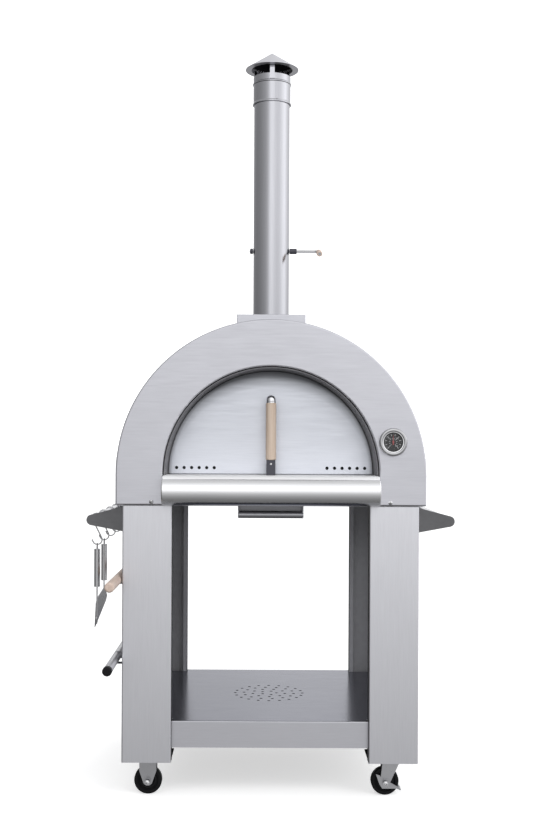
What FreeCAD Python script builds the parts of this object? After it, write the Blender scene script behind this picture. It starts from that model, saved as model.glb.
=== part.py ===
"""Wood fired pizza oven on a wheeled stand, as separate sub-parts in millimetres.

Frame: +Z up, the oven's mouth faces -Y, +X is to the right of someone standing at the mouth.
The origin is on the ground, under the middle of the whole assembly's plan outline.
Depths are measured back from the front plane, which holds the face panel and the front legs.
"""
import FreeCAD, Part
import math
import os

import Sketcher

DRIVING_SIZES = [
    # plan of the whole assembly
    ("body_depth", 690, "front plane to rear panel"),
    ("tool_reach", 140, "stored tool handles ahead of the front plane"),
    ("sheet", 2, "general sheet thickness"),
    # stand
    ("leg_inner", 262.3, "centre line to a leg's inner edge"),
    ("leg_width", 131, "leg face width"),
    ("leg_flange", 40, "leg inner flange depth"),
    ("leg_lip", 12, "return lip on a leg flange"),
    ("leg_bend", 3.5, "outer bend radius of a leg's folds"),
    ("leg_foot", 100, "ground to a leg's foot"),
    ("leg_top", 781, "ground to the leg tops"),
    ("foot_plate", 3, "foot plate thickness"),
    ("shelf_top", 208, "ground to the bottom shelf"),
    ("shelf_apron", 71, "bottom shelf apron height"),
    ("shelf_recess", 15, "shelf front behind the front plane"),
    ("shelf_side_gap", 14, "shelf side inside a leg's outer face"),
    ("shelf_bend", 3, "shelf edge bend radius"),
    ("drain_hole", 4.5, "shelf drain hole radius"),
    ("drain_step", 25.5, "spacing of the shelf's hole rings"),
    ("drain_inner", 22.5, "innermost hole ring radius"),
    # casters
    ("wheel_radius", 37.5, "tyre outer radius"),
    ("wheel_half", 12, "half tyre width"),
    ("hub_half", 13.5, "half hub length"),
    ("axle_radius", 4, "caster axle radius"),
    ("running_gap", 0.05, "radial running clearance"),
    ("cheek_gap", 14.5, "wheel centre to a fork cheek"),
    ("cheek_sheet", 2.5, "fork cheek thickness"),
    ("cheek_half", 23, "half fork width at its top"),
    ("cheek_nose", 13, "fork end radius round the axle"),
    ("cheek_shoulder", 64, "ground to the rigid fork's shoulders"),
    ("caster_plate", 3, "caster mounting plate thickness"),
    ("swivel_trail", 16, "swivel axis to the braked wheel's axle"),
    ("crown_top", 90.5, "ground to the swivel fork's crown"),
    ("king_radius", 5, "swivel king pin radius"),
    # oven body
    ("body_half", 412.5, "half body width and arch radius"),
    ("body_base", 783, "ground to the body's lower edge"),
    ("arch_level", 865.5, "ground to the arch centre"),
    ("panel_return", 8, "depth of the end panels' rolled edge"),
    ("panel_bend", 4.5, "bend radius of the end panels' edges"),
    ("mouth_radius", 287.4, "face panel opening radius"),
    ("hearth_level", 862, "ground to the hearth"),
    ("liner_radius", 285, "arch liner outer radius"),
    ("liner_notch", 5, "arch liner notch width"),
    ("notch_pitch", 3.4, "angle between liner notches"),
    ("flange_depth", 124.5, "chamber mouth flange behind the front plane"),
    ("flange_radius", 270, "chamber mouth radius"),
    ("chamber_radius", 298, "cooking chamber outer radius"),
    ("chamber_base", 828, "ground to the chamber floor's underside"),
    ("chamber_back", 640, "chamber rear wall behind the front plane"),
    ("stone_front", 156, "first hearth stone behind the front plane"),
    ("bullnose_half", 287, "half length of the front shelf"),
    ("bullnose_reach", 60, "front shelf ahead of the front plane"),
    ("chute_half", 62, "half width of the ash chute"),
    ("chute_front", 130, "ash chute behind the front plane"),
    ("chute_depth", 22, "ash chute opening depth"),
    # thermometer
    ("gauge_side", 323, "centre line to the thermometer"),
    ("gauge_level", 953, "ground to the thermometer"),
    ("bezel_radius", 37.5, "thermometer bezel radius"),
    ("dial_radius", 24.3, "thermometer dial radius"),
    # door
    ("door_front", 110, "door face behind the front plane"),
    ("door_radius", 281, "door panel radius"),
    ("door_depth", 14, "door pan depth"),
    ("plug_radius", 266, "insulated door plug radius"),
    ("vent_level", 880, "ground to the door vent holes"),
    ("vent_first", 155, "centre line to the first vent hole"),
    ("vent_pitch", 20.7, "vent hole spacing"),
    ("vent_radius", 4.5, "vent hole radius"),
    ("grip_depth", 52, "door grip axis behind the front plane"),
    ("grip_radius", 14, "door grip radius"),
    ("grip_base", 903, "ground to the door grip"),
    ("grip_top", 1057, "ground to the grip's upper end"),
    ("bracket_half", 12, "half width of the door bracket"),
    ("strap_sheet", 4, "door bracket thickness"),
    # ash drawer
    ("drawer_half", 88, "half width of the drawer pull"),
    ("drawer_floor", 747, "ground to the drawer's underside"),
    ("drawer_front", 64, "drawer front behind the front plane"),
    ("drawer_length", 276, "drawer tray length"),
    ("tray_half", 78, "half width of the drawer tray"),
    ("curl_radius", 9.5, "drawer pull curl radius"),
    # flue
    ("flue_depth", 210, "flue axis behind the front plane"),
    ("collar_half", 95, "half width of the flue collar box"),
    ("collar_top", 1303, "ground to the collar's top"),
    ("pipe_radius", 50.8, "flue pipe outer radius"),
    ("pipe_wall", 1.5, "flue pipe wall"),
    ("pipe_base", 1150, "ground to the pipe's lower end"),
    ("pipe_top", 1975, "ground to the pipe's upper end"),
    ("sleeve_radius", 53, "cap sleeve outer radius"),
    ("sleeve_base", 1905, "ground to the cap sleeve"),
    ("sleeve_top", 1983, "ground to the sleeve's mouth"),
    ("bead_height", 6, "height of a sleeve bead"),
    ("bead_reach", 1.7, "sleeve bead height above the sleeve"),
    ("cap_radius", 75, "cap rim radius"),
    ("cap_rim", 2005, "ground to the cap rim"),
    ("cap_apex", 2055, "ground to the cap's point"),
    ("strap_half", 6.5, "half width of a cap strap"),
    # damper
    ("damper_level", 1492, "ground to the damper rod"),
    ("damper_radius", 47, "damper plate radius"),
    ("rod_radius", 4, "damper rod radius"),
    ("rod_reach", 134, "flue axis to the damper handle"),
    ("rod_bend", 12, "damper rod bend radius"),
    ("rod_droop", 15, "damper handle angle below level"),
    ("coil_radius", 8, "damper grip radius"),
    ("coil_length", 52, "damper grip length"),
    # side handles
    ("handle_side", 483.7, "centre line to a side handle tube"),
    ("handle_level", 738.7, "ground to the side handle tubes"),
    ("handle_inset", 60, "side handle plates inside the body's ends"),
    ("plate_low", 707, "handle plate root's lower corner"),
    ("plate_high", 777, "handle plate root's upper corner"),
    ("plate_nose", 14.5, "handle plate nose radius"),
    ("plate_sheet", 3, "handle plate thickness"),
    ("tube_radius", 10, "side handle tube radius"),
    # hooks and hanging tools
    ("wire_radius", 1.8, "hook wire radius"),
    ("hook_gap", 0.4, "hook loop clearance round its tube"),
    ("hook_lean", 26.7, "hook spine angle from upright"),
    ("hook_spine", 56, "straight length of a hook spine"),
    ("hook_bend", 13.2, "lower hook bend radius"),
    ("first_hook", 150, "first hook behind the front plane"),
    ("hook_pitch", 140, "hook spacing"),
    ("ring_radius", 8, "hanging ring radius"),
    ("ring_wire", 1.2, "hanging ring wire radius"),
    ("tool_grip", 8.4, "hanging tool grip radius"),
    ("tool_grip_length", 105, "hanging tool grip length"),
    # stored long tools
    ("peel_side", 409, "centre line to the peel"),
    ("peel_level", 582, "ground to the peel handle"),
    ("peel_grip", 13, "peel handle radius"),
    ("peel_handle_end", 300, "peel handle's rear end behind the front plane"),
    ("blade_front", 380, "peel blade behind the front plane"),
    ("blade_half", 112, "half height of the stored peel blade"),
    ("scraper_side", 414, "centre line to the ash scraper"),
    ("scraper_level", 370, "ground to the ash scraper"),
    ("scraper_radius", 11.5, "ash scraper tube radius"),
    ("scraper_end", 400, "ash scraper head behind the front plane"),
    ("hanger_sheet", 2, "tool hanger strap thickness"),
    ("hanger_width", 20, "tool hanger strap width"),
]

NORMAL_SIGN = {"XY_Plane": 1, "XZ_Plane": -1, "YZ_Plane": 1}
AXIS_TURN = {
    "X": FreeCAD.Rotation(FreeCAD.Vector(0, 1, 0), 90),
    "Y": FreeCAD.Rotation(FreeCAD.Vector(1, 0, 0), -90),
    "Z": FreeCAD.Rotation(),
}


class Size:
    """A length or angle that carries its value and the sheet formula behind it."""

    def __init__(self, value, formula):
        self.value = float(value)
        self.formula = formula

    def __add__(self, other):
        return worked_out(self, "+", other)

    def __radd__(self, other):
        return worked_out(other, "+", self)

    def __sub__(self, other):
        return worked_out(self, "-", other)

    def __rsub__(self, other):
        return worked_out(other, "-", self)

    def __mul__(self, other):
        return worked_out(self, "*", other)

    def __rmul__(self, other):
        return worked_out(other, "*", self)

    def __truediv__(self, other):
        return worked_out(self, "/", other)

    def __neg__(self):
        return worked_out(0, "-", self)


class Arc:
    """Joins the corners before and after it in an outline, round a centre."""

    def __init__(self, centre, clockwise=False):
        self.centre = centre
        self.clockwise = clockwise


class Circle:
    """A closed round loop of a sketch."""

    def __init__(self, centre, radius):
        self.centre = centre
        self.radius = radius


def as_size(number):
    return number if isinstance(number, Size) else Size(number, "(%r)" % float(number))


def worked_out(left, sign, right):
    first, second = as_size(left), as_size(right)
    results = {
        "+": lambda: first.value + second.value,
        "-": lambda: first.value - second.value,
        "*": lambda: first.value * second.value,
        "/": lambda: first.value / second.value,
    }
    return Size(results[sign](), "(%s %s %s)" % (first.formula, sign, second.formula))


def sine(angle):
    angle = as_size(angle)
    return Size(math.sin(math.radians(angle.value)), "sin(%s)" % angle.formula)


def cosine(angle):
    angle = as_size(angle)
    return Size(math.cos(math.radians(angle.value)), "cos(%s)" % angle.formula)


def round_point(centre, radius, angle):
    """The point at an angle on a circle."""
    return centre[0] + radius * cosine(angle), centre[1] + radius * sine(angle)


class Sheet:
    """The driving sizes, each an attribute, kept in a spreadsheet of the document."""

    def __init__(self, document):
        cells = document.addObject("Spreadsheet::Sheet", "Sizes")
        for row, (alias, value, meaning) in enumerate(DRIVING_SIZES, start=1):
            cells.set("A%d" % row, alias)
            cells.set("B%d" % row, str(value))
            cells.set("C%d" % row, meaning)
            cells.setAlias("B%d" % row, alias)
        document.recompute()
        for alias, _, _ in DRIVING_SIZES:
            setattr(self, alias, Size(cells.get(alias), "Sizes.%s" % alias))


doc = FreeCAD.newDocument("PizzaOven")
d = Sheet(doc)
subparts = []

front = (d.tool_reach - d.body_depth) / 2
rear = front + d.body_depth


def depth(distance):
    """The Y of a place that is a distance behind the front plane."""
    return front + distance


def bind(item, path, size):
    item.setExpression(path, as_size(size).formula)


def keep(item, label):
    """Names a finished sub-part and lists it for export."""
    item.Label = label
    subparts.append(item)
    return item


def new_body(name):
    return doc.addObject("PartDesign::Body", name)


def sketch_on(body, plane, level, shift=(0, 0)):
    """A sketch parallel to one of the body's own origin planes."""
    sketch = body.newObject("Sketcher::SketchObject", body.Name + "Sketch")
    support = next(item for item in body.Origin.OriginFeatures if item.Role == plane)
    sketch.AttachmentSupport = (support, "")
    sketch.MapMode = "FlatFace"
    bind(sketch, "AttachmentOffset.Base.x", shift[0])
    bind(sketch, "AttachmentOffset.Base.y", shift[1])
    bind(sketch, "AttachmentOffset.Base.z", as_size(level) * NORMAL_SIGN[plane])
    return sketch


def vector(point):
    return FreeCAD.Vector(as_size(point[0]).value, as_size(point[1]).value, 0)


def pin_point(sketch, curve, end, point):
    """Holds one point of a curve at sheet-driven coordinates."""
    for kind, size in zip(("DistanceX", "DistanceY"), point):
        size = as_size(size)
        row = sketch.addConstraint(Sketcher.Constraint(kind, -1, 1, curve, end, size.value))
        bind(sketch, "Constraints[%d]" % row, size)


def add_arc(sketch, start, end, bend):
    """Adds an arc and returns its curve and which of its ends is its start."""
    centre, first, last = vector(bend.centre), vector(start), vector(end)
    if bend.clockwise:
        first, last = last, first
    angles = [math.atan2(p.y - centre.y, p.x - centre.x) for p in (first, last)]
    if angles[1] <= angles[0]:
        angles[1] += 2 * math.pi
    circle = Part.Circle(centre, FreeCAD.Vector(0, 0, 1), (first - centre).Length)
    curve = sketch.addGeometry(Part.ArcOfCircle(circle, angles[0], angles[1]))
    chord = last - first
    level_chord = abs(chord.x) >= abs(chord.y)
    kind = "DistanceY" if level_chord else "DistanceX"
    size = as_size(bend.centre[1] if level_chord else bend.centre[0])
    row = sketch.addConstraint(Sketcher.Constraint(kind, -1, 1, curve, 3, size.value))
    bind(sketch, "Constraints[%d]" % row, size)
    return curve, 2 if bend.clockwise else 1


def add_outline(sketch, steps, closed=True):
    """Draws corners joined by lines, or by an arc where one stands between two corners."""
    spans, start, bend = [], steps[0], None
    for step in steps[1:] + ([steps[0]] if closed else []):
        if isinstance(step, Arc):
            bend = step
            continue
        spans.append((start, step, bend))
        start, bend = step, None
    curves = []
    for start, end, bend in spans:
        if bend:
            curve, begin = add_arc(sketch, start, end, bend)
        else:
            curve, begin = sketch.addGeometry(Part.LineSegment(vector(start), vector(end))), 1
        pin_point(sketch, curve, begin, start)
        curves.append((curve, begin))
    if not closed:
        pin_point(sketch, curves[-1][0], 3 - curves[-1][1], spans[-1][1])
    following = curves[1:] + (curves[:1] if closed else [])
    for (curve, begin), (next_curve, next_begin) in zip(curves, following):
        sketch.addConstraint(
            Sketcher.Constraint("Coincident", curve, 3 - begin, next_curve, next_begin)
        )


def add_circle(sketch, loop):
    radius = as_size(loop.radius)
    circle = Part.Circle(vector(loop.centre), FreeCAD.Vector(0, 0, 1), radius.value)
    curve = sketch.addGeometry(circle)
    pin_point(sketch, curve, 3, loop.centre)
    row = sketch.addConstraint(Sketcher.Constraint("Radius", curve, radius.value))
    bind(sketch, "Constraints[%d]" % row, radius)


def add_loops(sketch, loops):
    for loop in loops:
        if isinstance(loop, Circle):
            add_circle(sketch, loop)
        else:
            add_outline(sketch, loop)


def extruded(body, kind, plane, level, length, loops):
    sketch = sketch_on(body, plane, level)
    add_loops(sketch, loops)
    feature = body.newObject("PartDesign::" + kind, body.Name + kind)
    feature.Profile = sketch
    bind(feature, "Length", length)
    return feature


def pad(body, plane, low, high, *loops):
    """Adds material between two levels along the plane's axis."""
    level = low if NORMAL_SIGN[plane] > 0 else high
    return extruded(body, "Pad", plane, level, as_size(high) - low, loops)


def pocket(body, plane, low, high, *loops):
    """Removes material between two levels along the plane's axis."""
    level = high if NORMAL_SIGN[plane] > 0 else low
    return extruded(body, "Pocket", plane, level, as_size(high) - low, loops)


def revolve(body, plane, level, shift, *loops):
    """Turns loops about the sketch's upright axis, which passes through the shift."""
    sketch = sketch_on(body, plane, level, shift)
    add_loops(sketch, loops)
    feature = body.newObject("PartDesign::Revolution", body.Name + "Revolution")
    feature.Profile = sketch
    feature.ReferenceAxis = (sketch, ["V_Axis"])
    feature.Angle = 360
    return feature


def rounded(body, feature, radius, chosen):
    """Rounds the edges of a feature that a test chooses."""
    doc.recompute()
    names = [
        "Edge%d" % number
        for number, edge in enumerate(feature.Shape.Edges, start=1)
        if chosen(edge)
    ]
    fillet = body.newObject("PartDesign::Fillet", body.Name + "Fillet")
    fillet.Base = (feature, names)
    bind(fillet, "Radius", radius)
    return fillet


def on_level(edge, axis, level, tolerance=0.01):
    """Whether a whole edge lies at one level along an axis, such as "y"."""
    box = edge.BoundBox
    low, high = getattr(box, axis.upper() + "Min"), getattr(box, axis.upper() + "Max")
    level = as_size(level).value
    return abs(low - level) < tolerance and abs(high - level) < tolerance


def repeated_round(body, feature, level, centre, angle, count, reverse=False):
    """Repeats a feature about an axis along Y or Z that stands on its sketch plane."""
    plane = "XY_Plane" if level is None else "XZ_Plane"
    guide = sketch_on(body, plane, 0 if level is None else level, centre)
    pattern = body.newObject("PartDesign::PolarPattern", body.Name + "Pattern")
    pattern.Originals = [feature]
    pattern.Axis = (guide, ["N_Axis"])
    pattern.Reversed = reverse
    bind(pattern, "Angle", angle)
    pattern.Occurrences = count
    body.Tip = pattern
    return pattern


def rectangle(left, low, right, high):
    return [(left, low), (right, low), (right, high), (left, high)]


def arch(half, base, spring):
    """A door-shaped outline: a flat base, upright sides and a half-round top."""
    return [(-half, base), (half, base), (half, spring), Arc((0, spring)), (-half, spring)]


def block(name, low, high):
    """An upright box between two corners."""
    box = doc.addObject("Part::Box", name)
    for axis, size_name, start, end in zip("xyz", ("Length", "Width", "Height"), low, high):
        bind(box, "Placement.Base.%s" % axis, start)
        bind(box, size_name, as_size(end) - start)
    return box


def cylinder(name, start, axis, radius, length):
    """A round bar from a point along a row axis."""
    bar = doc.addObject("Part::Cylinder", name)
    bar.Placement = FreeCAD.Placement(FreeCAD.Vector(), AXIS_TURN[axis])
    for letter, size in zip("xyz", start):
        bind(bar, "Placement.Base.%s" % letter, size)
    bind(bar, "Radius", radius)
    bind(bar, "Height", length)
    return bar


def dome(name, base, facing, radius, height):
    """A screw's domed head on a plane across Y, facing -1 or +1 along Y."""
    ball = (radius * radius + height * height) / (2 * height)
    cap = doc.addObject("Part::Sphere", name)
    cap.Placement = FreeCAD.Placement(
        FreeCAD.Vector(), FreeCAD.Rotation(FreeCAD.Vector(1, 0, 0), -90 * facing)
    )
    bind(cap, "Radius", ball)
    cap.Angle1 = math.degrees(math.asin((ball - height) / ball))
    cap.Angle2 = 90
    bind(cap, "Placement.Base.x", base[0])
    bind(cap, "Placement.Base.y", as_size(base[1]) - facing * (ball - height))
    bind(cap, "Placement.Base.z", base[2])
    return cap


def fused(name, items):
    result = doc.addObject("Part::MultiFuse", name)
    result.Shapes = items
    return result


def carved(name, base, tool):
    result = doc.addObject("Part::Cut", name)
    result.Base = base
    result.Tool = tool
    return result


def gathered(name, items):
    """Separate solids that share one node."""
    result = doc.addObject("Part::Compound", name)
    result.Links = items
    return result


def bent_wire(body, plane, level, route, start, radius):
    """A round wire along an open route that sets off downwards in its sketch plane."""
    path = sketch_on(body, plane, level)
    add_outline(path, route, closed=False)
    section = sketch_on(body, "XY_Plane", start[2])
    add_circle(section, Circle((start[0], start[1]), radius))
    doc.recompute()
    pipe = body.newObject("PartDesign::AdditivePipe", body.Name + "Pipe")
    pipe.Profile = section
    pipe.Spine = (path, ["Edge%d" % (row + 1) for row in range(len(path.Shape.Edges))])
    return pipe


# ------------------------------------------------------------------ stand


def make_leg(label, side, end):
    """A folded corner panel, open to the inside, with a foot plate and a top plate."""

    def corner(across, back):
        start = front if end < 0 else rear
        return side * (d.leg_inner + across), start - end * back

    width, fold, flange, lip = d.leg_width, d.sheet, d.leg_flange, d.leg_lip
    bend, mirrored = d.leg_bend, side * end > 0
    near, far = corner(bend, bend), corner(width - bend, bend)
    folded = [
        corner(lip, flange), corner(0, flange), corner(0, bend), Arc(near, mirrored),
        corner(bend, 0), corner(width - bend, 0), Arc(far, mirrored), corner(width, bend),
        corner(width, width), corner(width - lip, width), corner(width - lip, width - fold),
        corner(width - fold, width - fold), corner(width - fold, bend),
        Arc(far, not mirrored), corner(width - bend, fold), corner(bend, fold),
        Arc(near, not mirrored), corner(fold, bend), corner(fold, flange - fold),
        corner(lip, flange - fold),
    ]
    edge = 1
    square = [
        corner(edge, edge), corner(width - edge, edge),
        corner(width - edge, width - edge), corner(edge, width - edge),
    ]
    body = new_body(label)
    pad(body, "XY_Plane", d.leg_foot, d.leg_top, folded)
    pad(body, "XY_Plane", d.leg_foot, d.leg_foot + d.foot_plate, square)
    pad(body, "XY_Plane", d.leg_top - fold, d.leg_top, square)
    keep(body, label)


def shelf_outline(inset):
    """The shelf's plan: its corners step in round the leg flanges."""
    reach = d.leg_inner - inset
    side = d.leg_inner + d.leg_width - d.shelf_side_gap - inset
    ahead, notch = depth(d.shelf_recess + inset), depth(d.leg_flange + inset)
    back, back_notch = rear - d.shelf_recess - inset, rear - d.leg_flange - inset
    return [
        (-reach, ahead), (reach, ahead), (reach, notch), (side, notch),
        (side, back_notch), (reach, back_notch), (reach, back), (-reach, back),
        (-reach, back_notch), (-side, back_notch), (-side, notch), (-reach, notch),
    ]


def make_shelf():
    """A folded tray turned down, with a round field of drain holes."""
    body = new_body("bottom_shelf")
    underside = d.shelf_top - d.shelf_apron
    tray = pad(body, "XY_Plane", underside, d.shelf_top, shelf_outline(0))
    rounded(body, tray, d.shelf_bend, lambda edge: on_level(edge, "z", d.shelf_top))
    inner = shelf_outline(d.shelf_bend)
    pocket(body, "XY_Plane", underside, d.shelf_top - d.shelf_bend, inner)
    centre = (0, depth(d.body_depth / 2))
    for ring, count in enumerate((5, 9, 14, 20)):
        radius = d.drain_inner + ring * d.drain_step
        spot = (centre[0] + radius * sine(18.3), centre[1] + radius * cosine(18.3))
        hole = pocket(
            body, "XY_Plane", d.shelf_top - 2 * d.shelf_bend, d.shelf_top,
            Circle(spot, d.drain_hole),
        )
        repeated_round(body, hole, None, centre, 360, count)
    keep(body, "bottom_shelf")


def caster_place(side, end):
    """The plan position of a caster's top plate, at the middle of a leg's foot."""
    middle = d.leg_width / 2
    return side * (d.leg_inner + middle), (front if end < 0 else rear) - end * middle


def make_wheel(label, centre_x, centre_y):
    """A rubber tyre on a hub with a bored boss, turned about its axle."""
    body = new_body(label)
    bore = d.axle_radius + d.running_gap
    tread, wide, boss = d.wheel_radius, d.wheel_half, d.hub_half
    crown = 5
    profile = [
        (bore, -boss), (10, -boss), (12, 3 - wide), (26, 3 - wide), (28, -wide),
        (tread - crown, -wide), Arc((tread - crown, crown - wide)), (tread, crown - wide),
        (tread, wide - crown), Arc((tread - crown, wide - crown)), (tread - crown, wide),
        (28, wide), (26, wide - 3), (12, wide - 3), (10, boss), (bore, boss),
    ]
    revolve(body, "XY_Plane", d.wheel_radius, (centre_x, centre_y), profile)
    keep(body, label)


def cheek_outline(shoulders, axle, wraps):
    """A fork cheek: shoulders above, and a nose round the axle below."""
    left, right = wraps
    turn_on = round_point(axle, d.cheek_nose, left)
    turn_off = round_point(axle, d.cheek_nose, right)
    return [*shoulders, turn_on, Arc(axle), turn_off]


def make_axle(name, centre_x, centre_y, reach):
    """A caster axle bolt along Y with a head and a nut."""
    middle = d.wheel_radius
    bar = cylinder(
        name + "Bar", (centre_x, centre_y - reach, middle), "Y", d.axle_radius, 2 * reach
    )
    head = cylinder(name + "Head", (centre_x, centre_y - reach - 4, middle), "Y", 7, 4)
    nut = cylinder(name + "Nut", (centre_x, centre_y + reach, middle), "Y", 7, 4)
    return fused(name, [bar, head, nut])


def make_rigid_forks():
    """The two fixed forks under the left legs, each with its axle bolt."""
    solids = []
    for end, place in ((-1, "Front"), (1, "Rear")):
        middle_x, middle_y = caster_place(-1, end)
        half, under = d.cheek_half, d.leg_foot - d.caster_plate
        outer = d.cheek_gap + d.cheek_sheet
        axle = (middle_x, d.wheel_radius)
        body = new_body("RigidFork" + place)
        pad(
            body, "XY_Plane", under, d.leg_foot,
            rectangle(middle_x - 38, middle_y - 32, middle_x + 38, middle_y + 32),
        )
        shoulders = [
            (middle_x + half, d.cheek_shoulder), (middle_x + half, under),
            (middle_x - half, under), (middle_x - half, d.cheek_shoulder),
        ]
        cheek = cheek_outline(shoulders, axle, (199.2, 340.8))
        pad(body, "XZ_Plane", middle_y - outer, middle_y - d.cheek_gap, cheek)
        pad(body, "XZ_Plane", middle_y + d.cheek_gap, middle_y + outer, cheek)
        pocket(
            body, "XZ_Plane", middle_y - outer, middle_y + outer, Circle(axle, d.axle_radius)
        )
        solids.append(body)
        solids.append(make_axle("RigidAxle" + place, middle_x, middle_y, outer))
    keep(gathered("RigidForks", solids), "rigid_forks")


def make_swivel_plates():
    """The two top plates under the right legs, each with its race and king pin."""
    solids = []
    crown_base = d.crown_top - d.caster_plate
    for end, place in ((-1, "Front"), (1, "Rear")):
        middle_x, middle_y = caster_place(1, end)
        under = d.leg_foot - d.caster_plate
        plate = block(
            "SwivelPlate" + place,
            (middle_x - 38, middle_y - 32, under),
            (middle_x + 38, middle_y + 32, d.leg_foot),
        )
        race_base = d.crown_top + 0.5
        pin_base = crown_base - 3.5
        race = cylinder(
            "SwivelRace" + place, (middle_x, middle_y, race_base), "Z", 22, under - race_base
        )
        pin = cylinder(
            "KingPin" + place, (middle_x, middle_y, pin_base), "Z", d.king_radius,
            race_base - pin_base,
        )
        head = cylinder("KingHead" + place, (middle_x, middle_y, pin_base), "Z", 8, 3)
        solids.append(fused("SwivelTop" + place, [plate, race, pin, head]))
    keep(gathered("SwivelPlates", solids), "swivel_plates")


def make_swivel_fork(label, end):
    """A fork that turns on its king pin, trailing towards the centre line, with its axle."""
    middle_x, middle_y = caster_place(1, end)
    outer = d.cheek_gap + d.cheek_sheet
    axle = (middle_x - d.swivel_trail, d.wheel_radius)
    crown_base = d.crown_top - d.caster_plate
    body = new_body(label + "_frame")
    pad(
        body, "XY_Plane", crown_base, d.crown_top,
        rectangle(middle_x - 23, middle_y - outer, middle_x + 23, middle_y + outer),
    )
    shoulders = [(middle_x + 23, d.crown_top), (middle_x - 23, d.crown_top)]
    cheek = cheek_outline(shoulders, axle, (171.3, 335.6))
    pad(body, "XZ_Plane", middle_y - outer, middle_y - d.cheek_gap, cheek)
    pad(body, "XZ_Plane", middle_y + d.cheek_gap, middle_y + outer, cheek)
    pocket(body, "XZ_Plane", middle_y - outer, middle_y + outer, Circle(axle, d.axle_radius))
    pocket(
        body, "XY_Plane", crown_base, d.crown_top,
        Circle((middle_x, middle_y), d.king_radius + d.running_gap),
    )
    axle_bolt = make_axle(label + "_axle", axle[0], middle_y, outer + 3)
    keep(gathered(label, [body, axle_bolt]), label)


def make_brake_pedal(label, end):
    """A lever with a plate each side of the fork and a tread beyond the tyre."""
    middle_x, middle_y = caster_place(1, end)
    axle = (middle_x - d.swivel_trail, d.wheel_radius)
    inner = d.cheek_gap + d.cheek_sheet + 0.4
    outer = inner + 2

    def spot(across, up):
        return axle[0] + across, axle[1] + up

    lever = [
        spot(-25, 21), spot(-15, 18), spot(-9, 9), spot(9, 8), spot(14, -1),
        spot(35, -13), spot(43, -20), spot(41, -22), spot(31, -17.5), spot(-8, -17.5),
        spot(-16, -5),
    ]
    body = new_body(label)
    pad(body, "XZ_Plane", middle_y - outer, middle_y - inner, lever)
    pad(body, "XZ_Plane", middle_y + inner, middle_y + outer, lever)
    tread = [spot(37, -14.8), spot(43, -20), spot(41, -22), spot(35.5, -19.4)]
    pad(body, "XZ_Plane", middle_y - outer, middle_y + outer, tread)
    bore = Circle(axle, d.axle_radius + d.running_gap)
    pocket(body, "XZ_Plane", middle_y - outer, middle_y + outer, bore)
    keep(body, label)


def make_stand():
    for end, place in ((-1, "front"), (1, "rear")):
        for side, hand in ((-1, "left"), (1, "right")):
            make_leg("leg_%s_%s" % (place, hand), side, end)
    make_shelf()
    make_rigid_forks()
    make_swivel_plates()
    for end, place in ((-1, "front"), (1, "rear")):
        left, right = caster_place(-1, end), caster_place(1, end)
        make_wheel("wheel_%s_left" % place, *left)
        make_wheel("wheel_%s_right" % place, right[0] - d.swivel_trail, right[1])
        make_swivel_fork("swivel_fork_%s" % place, end)
        make_brake_pedal("brake_pedal_%s" % place, end)


# ------------------------------------------------------------------ oven body


def chute_plan(grow):
    """The ash chute's plan, grown by a margin on every side."""
    return rectangle(
        -d.chute_half - grow, depth(d.chute_front - grow),
        d.chute_half + grow, depth(d.chute_front + d.chute_depth + grow),
    )


def make_base_pan():
    """The body's floor, set in from its edge, with the ash chute standing in it."""
    inset, wall = 9, d.sheet
    half = d.body_half - inset
    pan = new_body("BasePlate")
    pad(
        pan, "XY_Plane", d.leg_top, d.leg_top + 3,
        rectangle(-half, depth(inset), half, rear - inset), chute_plan(wall),
    )
    chute = new_body("AshChute")
    pad(chute, "XY_Plane", d.leg_top, d.chamber_base, chute_plan(wall), chute_plan(0))
    keep(gathered("BasePan", [pan, chute]), "base_pan")


def make_outer_shell():
    """The arched skin between the two end panels, open where the flue passes."""
    body = new_body("outer_shell")
    half, wall, spring = d.body_half, d.sheet, d.arch_level
    band = [
        (half, d.body_base), (half, spring), Arc((0, spring)), (-half, spring),
        (-half, d.body_base), (wall - half, d.body_base), (wall - half, spring),
        Arc((0, spring), clockwise=True), (half - wall, spring), (half - wall, d.body_base),
    ]
    pad(body, "XZ_Plane", depth(d.panel_return), rear - d.panel_return, band)
    hole = Circle((0, depth(d.flue_depth)), d.pipe_radius + 1)
    pocket(body, "XY_Plane", spring + d.mouth_radius, spring + half + 10, hole)
    keep(body, "outer_shell")


def make_face_panel():
    """The front panel, rolled back at its rim and round the mouth."""
    body = new_body("face_panel")
    back = depth(d.panel_return)
    spring, below = d.arch_level, d.hearth_level - 3.2
    skin = pad(
        body, "XZ_Plane", front, back,
        arch(d.body_half, d.body_base, spring), arch(d.mouth_radius, below, spring),
    )
    rounded(body, skin, d.panel_bend, lambda edge: on_level(edge, "y", front))
    wall = 3
    pocket(
        body, "XZ_Plane", depth(wall), back,
        arch(d.body_half - wall, d.body_base + wall, spring),
        arch(d.mouth_radius + wall, below - wall, spring),
    )
    stem = Circle((d.gauge_side, d.gauge_level), 4.5)
    pocket(body, "XZ_Plane", front, back, stem)
    keep(body, "face_panel")


def make_rear_panel():
    """The rear panel, rolled forward at its rim."""
    body = new_body("rear_panel")
    ahead, wall = rear - d.panel_return, 3
    skin = pad(body, "XZ_Plane", ahead, rear, arch(d.body_half, d.body_base, d.arch_level))
    rounded(body, skin, d.panel_bend, lambda edge: on_level(edge, "y", rear))
    inner = arch(d.body_half - wall, d.body_base + wall, d.arch_level)
    sketch = sketch_on(body, "XZ_Plane", ahead)
    add_loops(sketch, [inner])
    hollow = body.newObject("PartDesign::Pocket", "RearHollow")
    hollow.Profile = sketch
    bind(hollow, "Length", d.panel_return - wall)
    keep(body, "rear_panel")


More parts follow.
